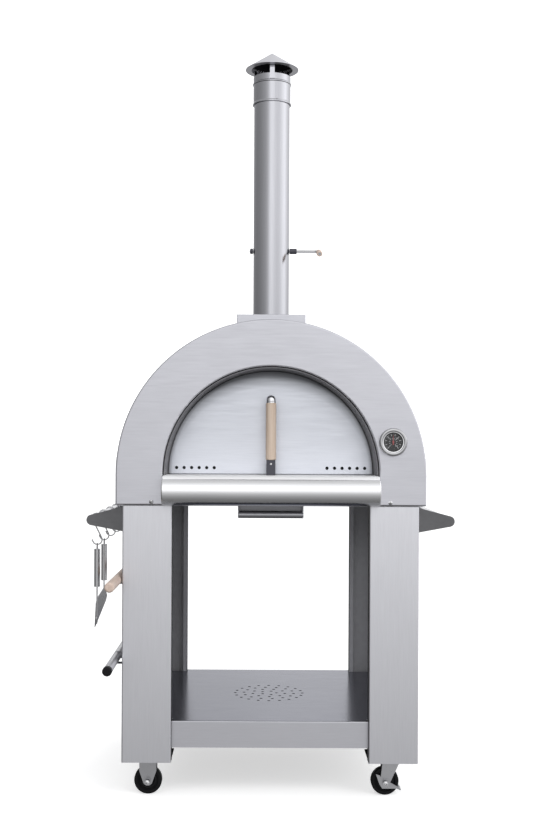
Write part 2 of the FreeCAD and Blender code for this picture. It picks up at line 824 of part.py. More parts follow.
def make_arch_liner():
    """The dark soffit of the mouth, with a row of notches near its front edge."""
    body = new_body("arch_liner")
    outer, inner = d.liner_radius, d.liner_radius - d.sheet
    spring, foot = d.arch_level, d.hearth_level - 3
    band = [
        (outer, foot), (outer, spring), Arc((0, spring)), (-outer, spring), (-outer, foot),
        (-inner, foot), (-inner, spring), Arc((0, spring), clockwise=True), (inner, spring),
        (inner, foot),
    ]
    pad(body, "XZ_Plane", depth(3.5), depth(d.flange_depth), band)
    first_level = spring + 8
    half_notch = d.liner_notch / 2
    notch = pocket(
        body, "YZ_Plane", -outer - 2, 4 - outer,
        rectangle(depth(9), first_level - half_notch, depth(16), first_level + half_notch),
    )
    count = 52
    sweep = d.notch_pitch * (count - 1)
    repeated_round(body, notch, 0, (0, spring), sweep, count, reverse=True)
    keep(body, "arch_liner")


def make_chamber():
    """The cooking vault with its mouth flange, floor, ash slot and flue hole."""
    body = new_body("cooking_chamber")
    spring, wall = d.arch_level, d.sheet
    mouth, back = depth(d.flange_depth), depth(d.chamber_back)
    pad(body, "XZ_Plane", mouth, back, arch(d.chamber_radius, d.chamber_base, spring))
    inside = arch(d.chamber_radius - wall, d.chamber_base + wall, spring)
    pocket(body, "XZ_Plane", mouth + wall, back - wall, inside)
    opening = arch(d.flange_radius, d.hearth_level, spring)
    pocket(body, "XZ_Plane", mouth, mouth + wall, opening)
    pocket(body, "XY_Plane", d.chamber_base, d.chamber_base + wall, chute_plan(0))
    hole = Circle((0, depth(d.flue_depth)), d.pipe_radius + 0.4)
    crown = spring + d.chamber_radius
    pocket(body, "XY_Plane", crown - 20, crown, hole)
    keep(body, "cooking_chamber")


def make_insulation():
    """The fibre blanket that fills the space between the vault and the skin."""
    body = new_body("insulation")
    spring, gap = d.arch_level, 1
    outer = arch(d.body_half - d.sheet - gap, d.leg_top + 3 + gap, spring)
    inner = arch(d.chamber_radius + gap, d.chamber_base - gap, spring)
    pad(body, "XZ_Plane", depth(d.panel_return + gap), rear - d.panel_return - gap, outer)
    pocket(body, "XZ_Plane", depth(d.panel_return), depth(d.chamber_back + gap), inner)
    pocket(body, "XY_Plane", d.leg_top, d.chamber_base, chute_plan(d.sheet + gap))
    hole = Circle((0, depth(d.flue_depth)), d.pipe_radius + gap)
    pocket(body, "XY_Plane", spring + d.chamber_radius - 20, spring + d.body_half, hole)
    stem = Circle((d.gauge_side, d.gauge_level), 4.5)
    pocket(body, "XZ_Plane", depth(d.panel_return), depth(60), stem)
    keep(body, "insulation")


def make_hearth():
    """The steel landing inside the mouth and the four stones in the chamber."""
    landing = new_body("hearth_plate")
    half = d.liner_radius - d.sheet
    pad(
        landing, "XY_Plane", d.hearth_level - 3, d.hearth_level,
        rectangle(-half, depth(3.5), half, depth(d.flange_depth)),
    )
    keep(landing, "hearth_plate")
    floor = d.chamber_base + d.sheet
    joint = 0.5
    length = (d.chamber_back - d.stone_front - 2 * d.sheet) / 2
    reach = d.chamber_radius - 2 * d.sheet
    stones = []
    for row, place in enumerate(("front", "rear")):
        start = depth(d.stone_front) + row * length
        for side, hand in ((-1, "left"), (1, "right")):
            near, far = side * joint, side * reach
            low_x, high_x = (near, far) if side > 0 else (far, near)
            stone = block(
                "Stone%s%s" % (place.title(), hand.title()),
                (low_x, start + joint, floor),
                (high_x, start + length - joint, d.hearth_level),
            )
            stones.append(stone)
    keep(gathered("HearthStones", stones), "hearth_stones")


def make_front_shelf():
    """The half-round hearth shelf on the face, a hollow folding closed at its ends."""
    body = new_body("front_shelf")
    low, high = d.body_base, d.hearth_level
    radius = (high - low) / 2
    middle = low + radius
    turn = front - d.bullnose_reach + radius
    wall = d.sheet
    solid = [(front, low), (turn, low), Arc((turn, middle), clockwise=True), (turn, high),
             (front, high)]
    nose = pad(body, "YZ_Plane", -d.bullnose_half, d.bullnose_half, solid)
    tip = d.bullnose_half.value

    def at_an_end(edge):
        ends = on_level(edge, "x", tip) or on_level(edge, "x", -tip)
        return ends and not on_level(edge, "y", front)

    rounded(body, nose, 4, at_an_end)
    inner = [
        (front, low + wall + 3), (turn, low + wall + 3),
        Arc((turn, middle), clockwise=True), (turn, high - wall - 3),
        (front, high - wall - 3),
    ]
    inset = 5
    pocket(body, "YZ_Plane", inset - d.bullnose_half, d.bullnose_half - inset, inner)
    keep(body, "front_shelf")


def make_dome_screws():
    """The two domed screws low on the face."""
    heads = [dome("FaceScrew", (side * 317, front, 792), -1, 6, 3.5) for side in (-1, 1)]
    keep(gathered("DomeScrews", heads), "dome_screws")


def make_oven_body():
    make_base_pan()
    make_outer_shell()
    make_face_panel()
    make_rear_panel()
    make_arch_liner()
    make_chamber()
    make_insulation()
    make_hearth()
    make_front_shelf()
    make_dome_screws()


# ------------------------------------------------------------------ thermometer


def make_thermometer():
    """A dial thermometer: case with bezel and stem, dial, needle and lens."""
    centre = (d.gauge_side, front)
    case = new_body("thermometer_case")
    rim, dial = d.bezel_radius, d.dial_radius
    profile = [
        (0, 50), (0, -3), (dial, -3), (dial, -9), (dial + 1.5, -11), (rim - 7, -11.5),
        Arc((rim - 7, -4.5)), (rim, -4.5), (rim, 0), (4, 0), (4, 50),
    ]
    revolve(case, "XY_Plane", d.gauge_level, centre, profile)
    keep(case, "thermometer_case")
    dial_plate = cylinder(
        "DialPlate", (d.gauge_side, front - 4, d.gauge_level), "Y", dial - 0.2, 1
    )
    keep(dial_plate, "thermometer_dial")
    lens = cylinder("Lens", (d.gauge_side, front - 9, d.gauge_level), "Y", dial - 0.1, 1.5)
    keep(lens, "thermometer_lens")
    needle = new_body("thermometer_needle")
    middle_x, middle_z = d.gauge_side, d.gauge_level
    pointer = [
        (middle_x - 1.6, middle_z - 7), (middle_x + 1.6, middle_z - 7),
        (middle_x + 1.1, middle_z), (middle_x + 0.3, middle_z + 18),
        (middle_x - 0.3, middle_z + 18), (middle_x - 1.1, middle_z),
    ]
    pad(needle, "XZ_Plane", front - 5.8, front - 5.2, pointer)
    pad(needle, "XZ_Plane", front - 6.4, front - 4.6, Circle((middle_x, middle_z), 2.6))
    keep(needle, "thermometer_needle")


# ------------------------------------------------------------------ door


def make_door_panel():
    """The half-round door pan with its two rows of vent holes."""
    body = new_body("door_panel")
    base, spring, wall = d.hearth_level + 0.5, d.arch_level, d.sheet
    start, back = depth(d.door_front), depth(d.door_front + d.door_depth)
    skin = pad(body, "XZ_Plane", start, back, arch(d.door_radius, base, spring))
    rounded(body, skin, d.sheet, lambda edge: on_level(edge, "y", start))
    inner = arch(d.door_radius - wall, base + wall, spring)
    pocket(body, "XZ_Plane", start + wall, back, inner)
    holes = []
    for side in (-1, 1):
        for number in range(6):
            across = side * (d.vent_first + number * d.vent_pitch)
            holes.append(Circle((across, d.vent_level), d.vent_radius))
    pocket(body, "XZ_Plane", start, start + wall, *holes)
    keep(body, "door_panel")


def make_door_plug():
    """The insulated plug behind the door pan, which fills the chamber mouth."""
    body = new_body("door_plug")
    back = d.door_front + d.door_depth
    spring, base = d.arch_level, d.hearth_level + 3
    lid = arch(d.door_radius - 4, base, spring)
    pad(body, "XZ_Plane", depth(back - 3), depth(back), lid)
    pad(body, "XZ_Plane", depth(back), depth(back + 26), arch(d.plug_radius, base, spring))
    keep(body, "door_plug")


def make_door_handle():
    """The folded bracket, the wooden grip and the rod with its domed cap."""
    body = new_body("door_bracket")
    low, high, fold = d.hearth_level + 0.6, d.grip_base, d.strap_sheet
    nose, door = depth(d.grip_depth - 12), depth(d.door_front)
    strap = [
        (nose, low), (door, low), (door, low + 28), (door - fold, low + 28),
        (door - fold, low + fold), (nose + fold, low + fold), (nose + fold, high - fold),
        (nose + 24, high - fold), (nose + 24, high), (nose, high),
    ]
    pad(body, "YZ_Plane", -d.bracket_half, d.bracket_half, strap)
    keep(body, "door_bracket")
    axis_y = depth(d.grip_depth)
    grip = new_body("door_grip")
    outer, bend = d.grip_radius, 3
    bore = d.rod_radius + d.running_gap
    profile = [
        (bore, high), (outer - bend, high), Arc((outer - bend, high + bend)),
        (outer, high + bend), (outer, d.grip_top - bend),
        Arc((outer - bend, d.grip_top - bend)), (outer - bend, d.grip_top), (bore, d.grip_top),
    ]
    revolve(grip, "XZ_Plane", axis_y, (0, 0), profile)
    keep(grip, "door_grip")
    rod = new_body("door_rod")
    washer, cap, top = 13.5, 12.5, d.grip_top
    profile = [
        (0, high), (d.rod_radius, high), (d.rod_radius, top), (washer, top),
        (washer, top + 3), (cap, top + 4), (cap, top + 8), Arc((0, top + 8)),
        (0, top + 8 + cap),
    ]
    revolve(rod, "XZ_Plane", axis_y, (0, 0), profile)
    keep(rod, "door_rod")


def make_door():
    make_door_panel()
    make_door_plug()
    make_door_handle()


# ------------------------------------------------------------------ ash drawer


def make_drawer():
    """The ash tray, its curled pull and the two rails under the body."""
    low, wall = d.drawer_floor, 1.5
    start, back = depth(d.drawer_front), depth(d.drawer_front + d.drawer_length)
    rim = low + 29
    half, lip = d.tray_half, 6
    tray = new_body("ash_tray")
    pad(tray, "XY_Plane", low, rim, rectangle(-half, start, half, back))
    pad(
        tray, "XY_Plane", rim - wall, rim, rectangle(-half - lip, start, half + lip, back)
    )
    pocket(
        tray, "XY_Plane", low + wall, rim,
        rectangle(wall - half, start + wall, half - wall, back - wall),
    )
    keep(tray, "ash_tray")
    pull = new_body("ash_pull")
    radius = d.curl_radius
    middle, nose = low + radius, start - 24
    curl = [
        (start, low), (nose, low), Arc((nose, middle), clockwise=True),
        (nose, middle + radius), (nose + 6, middle + radius),
        (nose + 6, middle + radius - wall), (nose, middle + radius - wall),
        Arc((nose, middle)), (nose, low + wall), (start - wall, low + wall),
        (start - wall, rim + 3), (start, rim + 3),
    ]
    pad(pull, "YZ_Plane", -d.drawer_half, d.drawer_half, curl)
    for side in (-1, 1):
        outer, inner = side * d.drawer_half, side * (d.drawer_half - 3)
        left, right = (inner, outer) if side > 0 else (outer, inner)
        cheek = rectangle(nose - radius + 2, low, start, rim + 3)
        pad(pull, "YZ_Plane", left, right, cheek)
    keep(pull, "ash_pull")
    rails = []
    for side in (-1, 1):
        inner, outer = half + 2, half + lip + 3
        channel = [
            (side * outer, d.leg_top), (side * outer, rim - wall - 2.5),
            (side * inner, rim - wall - 2.5), (side * inner, rim - wall - 0.5),
            (side * (outer - wall), rim - wall - 0.5), (side * (outer - wall), d.leg_top),
        ]
        body = new_body("DrawerRail")
        pad(body, "XZ_Plane", start + 4, depth(d.drawer_front + d.drawer_length + 20), channel)
        rails.append(body)
    keep(gathered("DrawerRails", rails), "drawer_rails")


# ------------------------------------------------------------------ flue and cap


def make_flue_collar():
    """The square box that seats the pipe on the arched skin."""
    half, wall = d.collar_half, d.sheet
    centre = depth(d.flue_depth)
    low = d.arch_level + d.body_half - 60
    body = new_body("flue_collar")
    square = rectangle(-half, centre - half, half, centre + half)
    inner = rectangle(wall - half, centre - half + wall, half - wall, centre + half - wall)
    shell = pad(body, "XY_Plane", low, d.collar_top, square)

    def upper_or_corner(edge):
        upright = edge.BoundBox.ZLength > 10
        return upright or on_level(edge, "z", d.collar_top)

    rounded(body, shell, d.sheet, upper_or_corner)
    pocket(body, "XY_Plane", low, d.collar_top - wall, inner)
    saddle = Circle((0, d.arch_level), d.body_half + 0.3)
    pocket(body, "XZ_Plane", centre - half, centre + half, saddle)
    hole = Circle((0, centre), d.pipe_radius + 0.1)
    pocket(body, "XY_Plane", d.collar_top - wall, d.collar_top, hole)
    keep(body, "flue_collar")


def make_flue_pipe():
    """The pipe from the vault to the cap, bored across for the damper rod."""
    centre = depth(d.flue_depth)
    body = new_body("flue_pipe")
    rim, bore = d.pipe_radius, d.pipe_radius - d.pipe_wall
    pad(
        body, "XY_Plane", d.pipe_base, d.pipe_top,
        Circle((0, centre), rim), Circle((0, centre), bore),
    )
    hole = Circle((centre, d.damper_level), d.rod_radius + d.running_gap)
    pocket(body, "YZ_Plane", -rim, rim, hole)
    keep(body, "flue_pipe")


def make_cap():
    """The sleeve with its two beads, the three straps and the conical cap."""
    centre = depth(d.flue_depth)
    sleeve = new_body("cap_sleeve")
    skin, bore, bump = d.sleeve_radius, d.pipe_radius + 0.3, d.bead_reach
    low, high, tall = d.sleeve_base, d.sleeve_top, d.bead_height
    upper = high - 23
    profile = [
        (bore, low), (skin + bump, low), (skin + bump, low + 2), (skin, low + tall),
        (skin, upper), (skin + bump, upper + 2), (skin + bump, upper + 4),
        (skin, upper + tall), (skin, high), (bore, high),
    ]
    revolve(sleeve, "XZ_Plane", centre, (0, 0), profile)
    keep(sleeve, "cap_sleeve")
    bars = []
    strap = 1.5
    for number in range(3):
        body = new_body("CapStrap")
        start = -skin - strap
        lower, top = upper + tall + 1, d.cap_rim + 6
        pad(
            body, "XY_Plane", lower, top,
            rectangle(-d.strap_half, start, d.strap_half, start + strap - 0.3),
        )
        body.Placement = FreeCAD.Placement(
            FreeCAD.Vector(), FreeCAD.Rotation(FreeCAD.Vector(0, 0, 1), 120 * number)
        )
        bind(body, "Placement.Base.y", centre)
        bars.append(body)
    keep(gathered("CapStraps", bars), "cap_straps")
    cone = new_body("cap_cone")
    rim, lip = d.cap_radius, d.cap_radius - 17
    profile = [
        (0, d.cap_apex), (0, d.cap_apex - 2), (rim - 4, d.cap_rim + 1.4),
        (lip, d.cap_rim + 1.4), (lip, d.cap_rim), (rim, d.cap_rim), (rim, d.cap_rim + 1),
    ]
    revolve(cone, "XZ_Plane", centre, (0, 0), profile)
    keep(cone, "cap_cone")


def make_damper():
    """The butterfly plate, its cranked rod, its collars and its handle grip."""
    centre, level, rod = depth(d.flue_depth), d.damper_level, d.rod_radius
    plate = cylinder(
        "DamperPlate", (0, centre - rod - 1.5, level), "Y", d.damper_radius, 1.5
    )
    keep(plate, "damper_plate")
    body = new_body("damper_rod")
    bend, reach = d.rod_bend, d.rod_reach
    path = sketch_on(body, "XY_Plane", 0)
    corner_x = reach - bend
    route = [(-62, 0), (corner_x, 0), Arc((corner_x, -bend), clockwise=True),
             (reach, -bend), (reach, -bend - d.coil_length)]
    add_outline(path, route, closed=False)
    section = sketch_on(body, "YZ_Plane", -62)
    add_circle(section, Circle((0, 0), rod))
    pipe = body.newObject("PartDesign::AdditivePipe", "DamperRodPipe")
    pipe.Profile = section
    pipe.Spine = (path, ["Edge1", "Edge2", "Edge3"])
    grip = new_body("damper_grip")
    end = -bend - d.coil_length
    outer, inner = d.coil_radius, rod + d.running_gap
    profile = [
        (inner, end), (outer - 2, end), Arc((outer - 2, end + 2)), (outer, end + 2),
        (outer, -bend - 3), (outer - 2, -bend - 1), (inner, -bend - 1),
    ]
    revolve(grip, "XY_Plane", 0, (reach, 0), profile)
    for turned in (body, grip):
        tilt = FreeCAD.Rotation(FreeCAD.Vector(1, 0, 0), d.rod_droop.value)
        turned.Placement = FreeCAD.Placement(FreeCAD.Vector(), tilt)
        bind(turned, "Placement.Rotation.Angle", d.rod_droop)
        bind(turned, "Placement.Base.y", centre)
        bind(turned, "Placement.Base.z", level)
    keep(body, "damper_rod")
    keep(grip, "damper_grip")
    rings = []
    for name, start, length in (("LeftNut", -60, 8.3), ("RightCollar", 51.7, 20.3)):
        tube = cylinder(name + "Tube", (start, centre, level), "X", 8, length)
        hole = cylinder(name + "Bore", (start - 1, centre, level), "X", rod, length + 2)
        rings.append(carved(name, tube, hole))
    keep(gathered("DamperCollars", rings), "damper_collars")


def make_flue():
    make_flue_collar()
    make_flue_pipe()
    make_cap()
    make_damper()


# ------------------------------------------------------------------ side handles


def make_handles():
    """Wedge plates bolted to the legs, and the tube between each pair's noses."""
    root = d.leg_inner + d.leg_width
    plates, tubes = [], []
    for side, hand in ((-1, "Left"), (1, "Right")):
        nose = (side * d.handle_side, d.handle_level)
        upper, lower = (75.5, -79.4) if side > 0 else (104.5, 259.4)
        wedge = [
            (side * root, d.plate_high), (side * root, d.plate_low),
            round_point(nose, d.plate_nose, lower), Arc(nose, clockwise=side < 0),
            round_point(nose, d.plate_nose, upper),
        ]
        across = (root, root + d.plate_sheet) if side > 0 else (-root - d.plate_sheet, -root)
        for end, place in ((-1, "Front"), (1, "Rear")):
            outside = depth(d.handle_inset) if end < 0 else rear - d.handle_inset
            inside = outside - end * d.plate_sheet
            tail = inside - end * 22
            body = new_body("HandlePlate" + hand + place)
            pad(
                body, "XZ_Plane", outside if end < 0 else inside,
                inside if end < 0 else outside, wedge,
            )
            flange = rectangle(
                across[0], inside if end < 0 else tail,
                across[1], tail if end < 0 else inside,
            )
            pad(body, "XY_Plane", d.plate_low, d.plate_high, flange)
            plates.append(body)
        start = depth(d.handle_inset) + d.plate_sheet
        length = d.body_depth - 2 * d.handle_inset - 2 * d.plate_sheet
        place = (side * d.handle_side, start, d.handle_level)
        tube = cylinder("HandleTube" + hand, place, "Y", d.tube_radius, length)
        bore = cylinder("HandleBore" + hand, place, "Y", d.tube_radius - 1.5, length)
        tubes.append(carved("Handle" + hand, tube, bore))
    keep(gathered("HandlePlates", plates), "handle_plates")
    keep(gathered("HandleTubes", tubes), "handle_tubes")


# ------------------------------------------------------------------ hooks and tools


def hook_frame():
    """The places that shape every hook, in the plane across the handle tube."""
    tube = (-d.handle_side, d.handle_level)
    loop = d.tube_radius + d.hook_gap + d.wire_radius
    spine_top = round_point(tube, loop, 180 + d.hook_lean)
    spine_low = (
        spine_top[0] + d.hook_spine * sine(d.hook_lean),
        spine_top[1] - d.hook_spine * cosine(d.hook_lean),
    )
    bend = round_point(spine_low, d.hook_bend, 180 + d.hook_lean)
    return tube, loop, spine_top, spine_low, bend


def make_hook(label, number):
    """An S-shaped wire hook: a loop over the handle tube, a spine and a lower bend."""
    tube, loop, spine_top, spine_low, bend = hook_frame()
    place = depth(d.first_hook + number * d.hook_pitch)
    loop_end = (tube[0] + loop, tube[1])
    bend_end = round_point(spine_low, 2 * d.hook_bend, 180 + d.hook_lean)
    tip = (bend_end[0] - 7 * sine(d.hook_lean), bend_end[1] + 7 * cosine(d.hook_lean))
    route = [
        (loop_end[0], loop_end[1] - 3), loop_end, Arc(tube), spine_top, spine_low,
        Arc(bend, clockwise=True), bend_end, tip,
    ]
    body = new_body(label)
    start = (loop_end[0], place, loop_end[1] - 3)
    bent_wire(body, "XZ_Plane", place, route, start, d.wire_radius)
    keep(body, label)


def tool_ring(name, number):
    """A tool's hanging ring across a hook's lowest point, and the level of the grip's top."""
    bend = hook_frame()[4]
    place = depth(d.first_hook + number * d.hook_pitch)
    wire_top = bend[1] - d.hook_bend + d.wire_radius
    middle = wire_top + 0.4 + d.ring_wire - d.ring_radius
    ring = doc.addObject("Part::Torus", name)
    ring.Placement = FreeCAD.Placement(FreeCAD.Vector(), AXIS_TURN["X"])
    bind(ring, "Radius1", d.ring_radius)
    bind(ring, "Radius2", d.ring_wire)
    bind(ring, "Placement.Base.x", bend[0])
    bind(ring, "Placement.Base.y", place)
    bind(ring, "Placement.Base.z", middle)
    return ring, (bend[0], place), middle - d.ring_radius - d.ring_wire + 1.2


def make_fork_tool():
    """A poker: ring, round grip, thin rod and a barbed point."""
    ring, (across, place), top = tool_ring("PokerRing", 0)
    grip_base = top - d.tool_grip_length
    grip = cylinder(
        "PokerGrip", (across, place, grip_base), "Z", d.tool_grip, d.tool_grip_length
    )
    rod_length = 90
    tip = grip_base - rod_length
    rod = cylinder("PokerRod", (across, place, tip), "Z", 2, rod_length + 1)
    point = doc.addObject("Part::Cone", "PokerPoint")
    point.Radius1 = 0.8
    point.Radius2 = 4
    point.Height = 16
    for letter, size in zip("xyz", (across, place, tip - 14)):
        bind(point, "Placement.Base.%s" % letter, size)
    barb = block(
        "PokerBarb", (across - 1.5, place - 14, tip + 2), (across + 1.5, place, tip + 6)
    )
    keep(fused("Poker", [ring, grip, rod, point, barb]), "poker")


def make_turner_tool():
    """A server: ring, round grip, short rod and a pointed blade cranked outwards."""
    ring, (across, place), top = tool_ring("TurnerRing", 1)
    grip_base = top - d.tool_grip_length
    grip = cylinder(
        "TurnerGrip", (across, place, grip_base), "Z", d.tool_grip, d.tool_grip_length
    )
    neck = grip_base - 25
    rod = cylinder("TurnerRod", (across, place, neck), "Z", 2, 26)
    blade = new_body("TurnerBlade")
    outline = [(-4, 3), (-30, -24), (-30, -40), (0, -118), (30, -40), (30, -24), (4, 3)]
    pad(blade, "YZ_Plane", -1, 1, outline)
    crank = FreeCAD.Rotation(FreeCAD.Vector(0, 1, 0), 14.6)
    twist = FreeCAD.Rotation(FreeCAD.Vector(0, 0, 1), -20)
    blade.Placement = FreeCAD.Placement(FreeCAD.Vector(), twist.multiply(crank))
    for letter, size in zip("xyz", (across, place, neck)):
        bind(blade, "Placement.Base.%s" % letter, size)
    keep(fused("Turner", [ring, grip, rod, blade]), "turner")


def make_peel():
    """The long-handled peel, stored on edge along the left legs."""
    tip = depth(-d.tool_reach)
    handle = new_body("peel_handle")
    grip, nose = d.peel_grip, 6
    end = depth(d.peel_handle_end)
    profile = [
        (0, tip), (grip - nose, tip), Arc((grip - nose, tip + nose)), (grip, tip + nose),
        (grip, end - 20), (grip - 3, end), (0, end),
    ]
    revolve(handle, "XY_Plane", d.peel_level, (-d.peel_side, 0), profile)
    keep(handle, "peel_handle")
    blade = new_body("peel_blade")
    start, back = depth(d.blade_front), rear - 10
    half, level, corner = d.blade_half, d.peel_level, 45
    outline = [
        (end, level - 14), (start, level - 22), (start + 40, level - half),
        (back - corner, level - half), Arc((back - corner, level - half + corner)),
        (back, level - half + corner), (back, level + half - corner),
        Arc((back - corner, level + half - corner)), (back - corner, level + half),
        (start + 40, level + half), (start, level + 22), (end, level + 14),
    ]
    pad(blade, "YZ_Plane", -d.peel_side - 1, 1 - d.peel_side, outline)
    keep(blade, "peel_blade")


def make_scraper():
    """The ash scraper: a steel tube with an end cap, and a flat head with its bolt."""
    tip, end = depth(-d.tool_reach), depth(d.scraper_end)
    centre = (-d.scraper_side, d.scraper_level)
    cap_length = 16
    cap = new_body("scraper_cap")
    rim, nose = d.scraper_radius + 1, 4
    profile = [
        (0, tip), (rim - nose, tip), Arc((rim - nose, tip + nose)), (rim, tip + nose),
        (rim, tip + cap_length), (0, tip + cap_length),
    ]
    revolve(cap, "XY_Plane", centre[1], (centre[0], 0), profile)
    keep(cap, "scraper_cap")
    start = tip + cap_length
    tube = cylinder(
        "ScraperTube", (centre[0], start, centre[1]), "Y", d.scraper_radius, end - start
    )
    head = block(
        "ScraperHead",
        (centre[0] - 20, end, centre[1] - 45),
        (centre[0] + 16, end + 3, centre[1] + 45),
    )
    bump = cylinder(
        "ScraperBolt", (centre[0], tip + 205, centre[1] + d.scraper_radius - 2), "Z", 4, 5
    )
    keep(fused("Scraper", [tube, head, bump]), "ash_scraper")


def hanger(name, back, tool_side, tool_radius, level, top):
    """A J-shaped strap: down the leg's outer face, under the tool and up again."""
    leg = d.leg_inner + d.leg_width
    fold = d.hanger_sheet
    seat = tool_radius + 0.4
    centre = (-tool_side, level)
    body = new_body(name)
    outside = seat + fold
    strap = [
        (-leg, top), (-leg, level - outside), (centre[0], level - outside),
        Arc(centre, clockwise=True), (centre[0] - outside, level),
        (centre[0] - seat, level), Arc(centre), (centre[0], level - seat),
        (-leg - fold, level - seat), (-leg - fold, top),
    ]
    low_y = depth(back)
    pad(body, "XZ_Plane", low_y, low_y + d.hanger_width, strap)
    return body


def make_hangers():
    """The straps that hold the peel and the scraper on the left legs."""
    straps = [
        hanger("PeelHanger", 55, d.peel_side, d.peel_grip, d.peel_level, d.plate_low - 4),
        hanger("ScraperHangerFront", 30, d.scraper_side, d.scraper_radius, d.scraper_level, 430),
        hanger("ScraperHangerRear", 105, d.scraper_side, d.scraper_radius, d.scraper_level, 430),
    ]
    blade_edge = d.peel_level - d.blade_half
    leg, fold = d.leg_inner + d.leg_width, d.hanger_sheet
    under = blade_edge - 0.4
    outer = -d.peel_side - 6
    seat = [
        (-leg, 560), (-leg, under - fold), (outer, under - fold), (outer, under + 14),
        (outer + fold, under + 14), (outer + fold, under), (-leg - fold, under),
        (-leg - fold, 560),
    ]
    body = new_body("BladeHanger")
    low_y = rear - 90
    pad(body, "XZ_Plane", low_y, low_y + d.hanger_width, seat)
    straps.append(body)
    keep(gathered("Hangers", straps), "tool_hangers")


def make_side_gear():
    make_handles()
    for number in range(4):
        make_hook("hook_%d" % (number + 1), number)
    make_fork_tool()
    make_turner_tool()
    make_peel()
    make_scraper()
    make_hangers()


# ------------------------------------------------------------------ checks and export


def check_document():
    """Stops if any feature failed, any cut removed nothing or any sub-part is unsound."""
    faults = []
    for item in doc.Objects:
        if {"Invalid", "Error"} & set(item.State):
            faults.append("%s is %s" % (item.Name, item.State))
        if item.TypeId in ("PartDesign::Pocket", "PartDesign::Groove") and item.BaseFeature:
            removed = item.BaseFeature.Shape.Volume - item.Shape.Volume
            if removed < 0.5:
                faults.append("%s removes nothing" % item.Name)
    for item in subparts:
        if item.Shape.isNull() or not item.Shape.isValid():
            faults.append("%s has no sound shape" % item.Label)
    if faults:
        raise RuntimeError("; ".join(faults))


def export():
    os.makedirs("parts", exist_ok=True)
    for item in subparts:
        item.Shape.exportStep("parts/%s.step" % item.Label)


make_stand()
make_oven_body()
make_thermometer()
make_door()
make_drawer()
make_flue()
make_side_gear()
doc.recompute()
check_document()
export()
print("%d sub-parts written" % len(subparts))
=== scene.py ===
"""The looks of the wood fired pizza oven: surfaces, small fittings, studio, light and camera.

Everything is in metres in the part's own frame: +Z up, the mouth faces -Y, the origin on the ground.
"""

import math

import bmesh
import bpy
from mathutils import Matrix, Vector


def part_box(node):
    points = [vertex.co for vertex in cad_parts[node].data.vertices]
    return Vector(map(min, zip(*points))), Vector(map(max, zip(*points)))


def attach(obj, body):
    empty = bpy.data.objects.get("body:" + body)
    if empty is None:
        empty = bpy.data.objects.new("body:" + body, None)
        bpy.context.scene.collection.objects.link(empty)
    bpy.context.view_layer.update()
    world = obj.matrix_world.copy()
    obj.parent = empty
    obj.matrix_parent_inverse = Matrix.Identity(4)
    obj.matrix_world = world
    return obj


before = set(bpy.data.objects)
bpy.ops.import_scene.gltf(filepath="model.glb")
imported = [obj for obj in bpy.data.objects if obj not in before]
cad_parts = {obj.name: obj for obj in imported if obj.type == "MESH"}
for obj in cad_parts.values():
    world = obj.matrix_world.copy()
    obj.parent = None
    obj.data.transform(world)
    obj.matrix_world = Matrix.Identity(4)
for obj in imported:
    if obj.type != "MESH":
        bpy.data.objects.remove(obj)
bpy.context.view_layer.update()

FRONT = -0.275  # Y of the front plane
REAR = 0.415  # Y of the rear plane
ARCH = 0.8655  # Z of the centre of the mouth's and the shell's arcs
FLUE_Y = -0.065
FLUE_RADIUS = 0.0508
GAUGE = Vector((0.323, FRONT, 0.953))  # the thermometer's middle
GAUGE_BORE = 0.0262  # the radius inside its rim
DIAL_FACE = FRONT - 0.00405  # Y of its print
CASTER_X = 0.3278
CASTER_INSET = 0.0655
CASTER_Y = (FRONT + CASTER_INSET, REAR - CASTER_INSET)
TRAIL = 0.016  # from a swivel's axis in to its wheel's axle
AXLE_Z = 0.0375
LEG_SIDE = 0.3933
LEG_BEND = 0.0036  # a face this near a leg's outer plane lies on it
HOLE_FIELD = 0.11  # radius of the shelf's round field of drain holes
CAP_MOUTH = 0.058  # radius of the cap's underside, which gets painted shade

# How noise is stretched for a grain along one axis, and its scales.
EVEN = (1, 1, 1)
GRAIN_X = (0.05, 1, 1)
GRAIN_Y = (1, 0.05, 1)
GRAIN_Z = (1, 1, 0.05)
STREAKS = 420
BRUSHING = 300
SCRATCHES = 600

LEGS = ("leg_front_left", "leg_front_right", "leg_rear_left", "leg_rear_right")
# Each caster's name, the body that carries its axle, and the axle's X and Y.
CASTERS = (
    ("front_left", "oven", -CASTER_X, CASTER_Y[0]),
    ("rear_left", "oven", -CASTER_X, CASTER_Y[1]),
    ("front_right", "swivel_front", CASTER_X - TRAIL, CASTER_Y[0]),
    ("rear_right", "swivel_rear", CASTER_X - TRAIL, CASTER_Y[1]),
)


def at(distance):
    """The Y of a place a distance behind the front plane."""
    return FRONT + distance


# ---------------------------------------------------------------- surfaces


